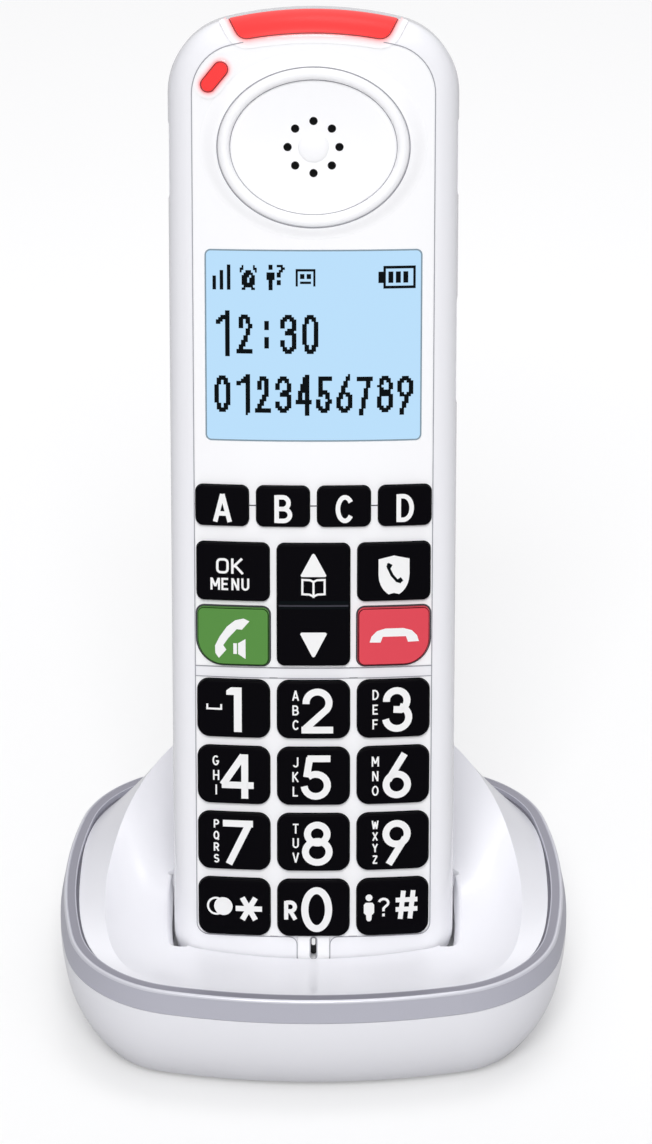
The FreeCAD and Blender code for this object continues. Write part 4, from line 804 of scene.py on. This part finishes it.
def waist(height, inset, turns=360):
    """The ring's outline at a height in millimetres, moved in by an inset: level points about the cradle."""
    centre = Vector((0, BASE_MIDDLE, height * MM))
    outline = []
    for index in range(turns):
        turn = 2 * math.pi * index / turns
        out = Vector((math.cos(turn), math.sin(turn), 0))
        outline.append(RING.ray_cast(centre + out * WAIST_REACH, -out, WAIST_REACH)[0])
    moved = []
    for index, point in enumerate(outline):
        way = (outline[(index + 2) % turns] - outline[index - 2]).normalized()
        moved.append(point + Vector((-way.y, way.x, 0)) * inset * MM)
    return moved


def band(name, rows, material):
    """A smooth closed band through rows of points."""
    bm = bmesh.new()
    rings = [[bm.verts.new(point) for point in row] for row in rows]
    for one, two in zip(rings, rings[1:]):
        for index in range(len(one)):
            after = (index + 1) % len(one)
            face = bm.faces.new((one[index], one[after], two[after], two[index]))
            face.smooth = True
    return add_piece(name, bm, material, "cradle")


def at_height(points, height):
    """Level points moved to a height in millimetres."""
    return [Vector((point.x, point.y, height * MM)) for point in points]


EDGE_DROP, ROLL, GROOVE_DROP = 1.4, 0.5, 1.0


def make_waist():
    """The ring's rolled edge with a painted highlight, its top with painted shade, and a grey sheet of painted
    shade in the groove between it and the shell.
    """
    edge = RING_TOP - EDGE_DROP
    # Painted highlight: the rolled edge is a lighter copy of the ring's silver.
    painted_highlight = moulded("trim_painted_highlight", from_hex("D2D2DA"), 0.3, mottle=0.02, grain=0.03, metallic=0.15)
    rows = []
    for step in range(7):
        turn = math.pi / 2 * step / 6
        level = RING_TOP - 0.42 + ROLL * math.sin(turn)
        rows.append(at_height(waist(edge, 0.3 + ROLL * (1 - math.cos(turn)) - 0.12), level))
    band("trim_edge", rows, painted_highlight)
    # Painted shade: the ring's top is a darker copy of its silver.
    dark = moulded("trim_top_painted_shade", from_hex("8E8D98"), 0.4, mottle=0.03, grain=0.05, metallic=0.2)
    rows = [at_height(waist(edge, inset), RING_TOP + lift) for inset, lift in
            ((0.85, 0.05), (1.5, 0.05), (2.1, 0.03), (2.38, -0.1))]
    band("trim_top", rows, dark)
    # Painted shade: a grey sheet over the groove stands for the shade in it.
    groove = moulded("trim_groove_shade", from_hex("6E6D77"), 0.6, mottle=0.02)
    rows = [at_height(waist(edge, inset), RING_TOP - GROOVE_DROP) for inset in (2.3, 3.3)]
    band("trim_groove_shade", rows, groove)


FLANK, FOOT_CORNER, MOUTH = 24.5, 8, 26.0
LIP_OUTSIDE, LIP_GAP = MOUTH + 0.35, 0.5
OPEN_DEPTH, PAST_FOOT, PAST_TOP = 0.8, 1.2, 0.8


def lip_foot(height):
    """How far out the inner edge of a lip lies at a height: just clear of the handset's rounded foot."""
    drop = max(FOOT_CORNER - height, 0)
    return FLANK - FOOT_CORNER + math.sqrt(FOOT_CORNER ** 2 - drop ** 2) + LIP_GAP


def make_mouth_lips():
    """The rounded lip beside each flank of the handset, which leaves a crescent of shadow between them."""
    shell = tree_of("base_top_shell")

    def depth_at(x, height):
        hit = shell.ray_cast(at(x, RAY_START, height), INTO, RAY_REACH)[0]
        return (hit - FOOT).dot(INTO) / MM if hit else 0

    for side, label in ((-1, "left"), (1, "right")):
        heights = [step * 0.25 for step in range(100)]
        heights = [height for height in heights if depth_at(side * (FLANK + 1), height)
                   - depth_at(side * LIP_OUTSIDE, height) > OPEN_DEPTH]
        low, high = min(heights) - PAST_FOOT, max(heights) + PAST_TOP
        steps = 80
        bm = bmesh.new()
        rows = []
        for step in range(steps + 1):
            height = low + (high - low) * step / steps
            near, far = [depth_at(side * x, height) for x in (LIP_OUTSIDE, LIP_OUTSIDE + 1)]
            foot = lip_foot(height)
            crest = min(foot + 0.05 + math.sqrt(math.sin(math.pi * step / steps)), LIP_OUTSIDE - 0.1)
            width = crest - foot
            level = near + (near - far) * (LIP_OUTSIDE - crest)
            spots = [(LIP_OUTSIDE, near - 0.03), (crest, level), (crest - width * 0.2, level + 0.2),
                     (crest - width * 0.6, level + 1.2), (foot, level + 3)]
            rows.append([bm.verts.new(at(side * x, depth, height)) for x, depth in spots])
        for one, two in zip(rows, rows[1:]):
            for column in range(len(one) - 1):
                face = bm.faces.new((one[column], one[column + 1], two[column + 1], two[column]))
                face.smooth = True
        bmesh.ops.recalc_face_normals(bm, faces=bm.faces)
        if bm.faces[:][0].normal.dot(INTO) > 0:
            bmesh.ops.reverse_faces(bm, faces=bm.faces)
        add_piece(f"mouth_lip_{label}", bm, MATERIALS["cradle_white"], "cradle")


EAR_HEIGHT = 145.4
SWELL_PROUD, BEAD_REACH, BEAD_PROUD, DOME = 0.55, 1.05, 1.0, 2.6


def relief(name, rings, material):
    """A surface over ovals on the face: each ring is (half_width, half_height, middle_height, proud)."""
    sides = 128
    bm = bmesh.new()
    rows = []
    for half_width, half_height, middle, proud in rings:
        row = []
        for index in range(sides):
            turn = 2 * math.pi * index / sides
            x = half_width * math.cos(turn)
            row.append(bm.verts.new(at(x, crown_depth(x) - proud, middle + half_height * math.sin(turn))))
        rows.append(row)
    for one, two in zip(rows, rows[1:]):
        for index in range(sides):
            after = (index + 1) % sides
            bm.faces.new((one[index], one[after], two[after], two[index]))
    bmesh.ops.remove_doubles(bm, verts=bm.verts, dist=1e-7)
    face_outward(bm)
    for face in bm.faces:
        face.smooth = True
    return add_piece(name, bm, material, "handset")


def make_earpiece():
    """The soft swelling round the earpiece, the round bead on it, the dome in the dish's middle, and painted shade
    in the creases at both edges of the bead.
    """
    swell = []
    for step in range(13):
        share = step / 12
        rise = 0.5 - 0.5 * math.cos(math.pi * share)
        middle = EAR_HEIGHT + 0.3 * (1 - share)
        swell.append((19.0 - 2.9 * share, 15.6 - 2.3 * share, middle, SWELL_PROUD * rise + 0.02))
    relief("earpiece_swell", swell, MATERIALS["earpiece_white"])
    bead = []
    for step in range(17):
        turn = math.pi * step / 16
        reach = BEAD_REACH * math.cos(turn)
        bead.append((15.08 + reach, 12.28 + reach, EAR_HEIGHT, 0.12 + BEAD_PROUD * math.sin(turn)))
    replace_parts(relief("earpiece_bead", bead, MATERIALS["earpiece_white"]), "earpiece_ring")
    dome = []
    for step in range(11):
        turn = math.pi / 2 * (1 - step / 10)
        reach = DOME * math.sin(turn)
        dome.append((reach, reach, EAR_HEIGHT, -0.9 + 0.6 * math.cos(turn)))
    relief("earpiece_dome", dome, MATERIALS["earpiece_white"])
    # Painted shade: grey lines in the creases at the bead's outer and inner edges.
    crease_shades = (("earpiece_crease_shade", 16.15, 13.35, 0.58), ("earpiece_lip_shade", 14.0, 11.2, 0.12))
    for name, across, up, proud in crease_shades:
        line = arc(0, EAR_HEIGHT, across, up, 0, 360, 96)
        print_on(name, "handset", [(line, 0.17)], [], proud, SEAM_GREY, lift=0.0)


digit_legends()
bottom_row_legends()
function_legends()
call_legends()
rocker_legends()
make_display()
make_seams()
make_call_rims()
make_microphone_slot()
make_lamp_glow()
make_waist()
make_mouth_lips()
make_earpiece()


# ---------------------------------------------------------------- camera, floor and light
CAMERA_DROP = math.radians(26.6)
CAMERA_DISTANCE = 0.6
AIM_HEIGHT = 0.0799
SENSOR, FOCAL_LENGTH, SIDE_SHIFT = 36, 110.077, 0.010927


def add_camera():
    """A long lens, a little above the phone and looking down at it."""
    data = bpy.data.cameras.new("camera")
    data.sensor_width = SENSOR
    data.lens = FOCAL_LENGTH
    data.shift_x = SIDE_SHIFT
    camera = bpy.data.objects.new("camera", data)
    look = Vector((0, math.cos(CAMERA_DROP), -math.sin(CAMERA_DROP)))
    camera.location = Vector((0, BASE_MIDDLE, AIM_HEIGHT)) - look * CAMERA_DISTANCE
    camera.rotation_euler = (math.pi / 2 - CAMERA_DROP, 0, 0)
    bpy.context.scene.collection.objects.link(camera)
    bpy.context.scene.camera = camera


def add_light(name, place, target, size, power):
    """A softbox aimed at a point."""
    data = bpy.data.lights.new(name, "AREA")
    data.shape = "RECTANGLE"
    data.size, data.size_y = size
    data.energy = power
    light = bpy.data.objects.new(name, data)
    light.location = place
    light.rotation_euler = (Vector(target) - Vector(place)).to_track_quat("-Z", "Y").to_euler()
    bpy.context.scene.collection.objects.link(light)


FLOOR_REACH, FLOOR_LIFT, FAR_FLOOR_LIFT = 20.0, 0.27, 0.38


def add_floor():
    """A white sweep of paper that looks brighter than it lights the phone, and more so further back."""
    mesh = bpy.data.meshes.new("floor")
    bm = bmesh.new()
    corners = [(-1, -1), (1, -1), (1, 1), (-1, 1)]
    bm.faces.new([bm.verts.new((x * FLOOR_REACH, y * FLOOR_REACH, 0)) for x, y in corners])
    bm.to_mesh(mesh)
    bm.free()
    floor = bpy.data.objects.new("floor", mesh)
    paper = moulded("floor_paper", (0.62, 0.62, 0.62), 0.9, mottle=0.005, grain=0.0)
    tree = paper.node_tree
    shader = tree.nodes["Principled BSDF"]
    seen = add_node(tree, "ShaderNodeLightPath")
    place = add_node(tree, "ShaderNodeTexCoord")
    parts = add_node(tree, "ShaderNodeSeparateXYZ")
    tree.links.new(place.outputs["Object"], parts.inputs[0])
    further = add_node(tree, "ShaderNodeMapRange")
    for name, value in (("From Min", -0.1), ("From Max", 0.3), ("To Min", FLOOR_LIFT),
                        ("To Max", FAR_FLOOR_LIFT)):
        further.inputs[name].default_value = value
    tree.links.new(parts.outputs["Y"], further.inputs["Value"])
    lift = add_node(tree, "ShaderNodeMath", operation="MULTIPLY")
    tree.links.new(further.outputs["Result"], lift.inputs[0])
    tree.links.new(seen.outputs["Is Camera Ray"], lift.inputs[1])
    shader.inputs["Emission Color"].default_value = (1, 1, 1, 1)
    tree.links.new(lift.outputs["Value"], shader.inputs["Emission Strength"])
    mesh.materials.append(paper)
    bpy.context.scene.collection.objects.link(floor)


SIDE_TONE, LOW_TENT, HIGH_TENT = (0.1, 0.1, 0.135, 1), 0.42, 1.04


def light_scene():
    """A white tent, greyer at its sides and low down, with a soft light in front and one above."""
    world = bpy.data.worlds.new("studio")
    world.use_nodes = True
    tree = world.node_tree
    place = add_node(tree, "ShaderNodeTexCoord")
    parts = add_node(tree, "ShaderNodeSeparateXYZ")
    tree.links.new(place.outputs["Generated"], parts.inputs[0])
    aside = add_node(tree, "ShaderNodeMath", operation="ABSOLUTE")
    tree.links.new(parts.outputs["X"], aside.inputs[0])
    ramp = add_node(tree, "ShaderNodeValToRGB")
    tree.links.new(aside.outputs["Value"], ramp.inputs["Fac"])
    stops = ramp.color_ramp.elements
    stops[0].position, stops[0].color = 0.25, (1, 1, 1, 1)
    stops[1].position, stops[1].color = 0.8, SIDE_TONE
    tree.links.new(ramp.outputs["Color"], tree.nodes["Background"].inputs["Color"])
    rise = add_node(tree, "ShaderNodeMapRange")
    for name, value in (("From Min", 0.0), ("From Max", 0.6), ("To Min", LOW_TENT), ("To Max", HIGH_TENT)):
        rise.inputs[name].default_value = value
    tree.links.new(parts.outputs["Z"], rise.inputs["Value"])
    tree.links.new(rise.outputs["Result"], tree.nodes["Background"].inputs["Strength"])
    bpy.context.scene.world = world
    bpy.context.scene.view_settings.view_transform = "Standard"
    target = (0, 0, 0.07)
    add_light("key_light", (-0.05, -0.85, 0.95), target, (0.5, 0.5), 7.0)
    add_light("top_light", (0.1, 0.25, 1.1), target, (0.5, 0.3), 2.0)


add_camera()
add_floor()
light_scene()
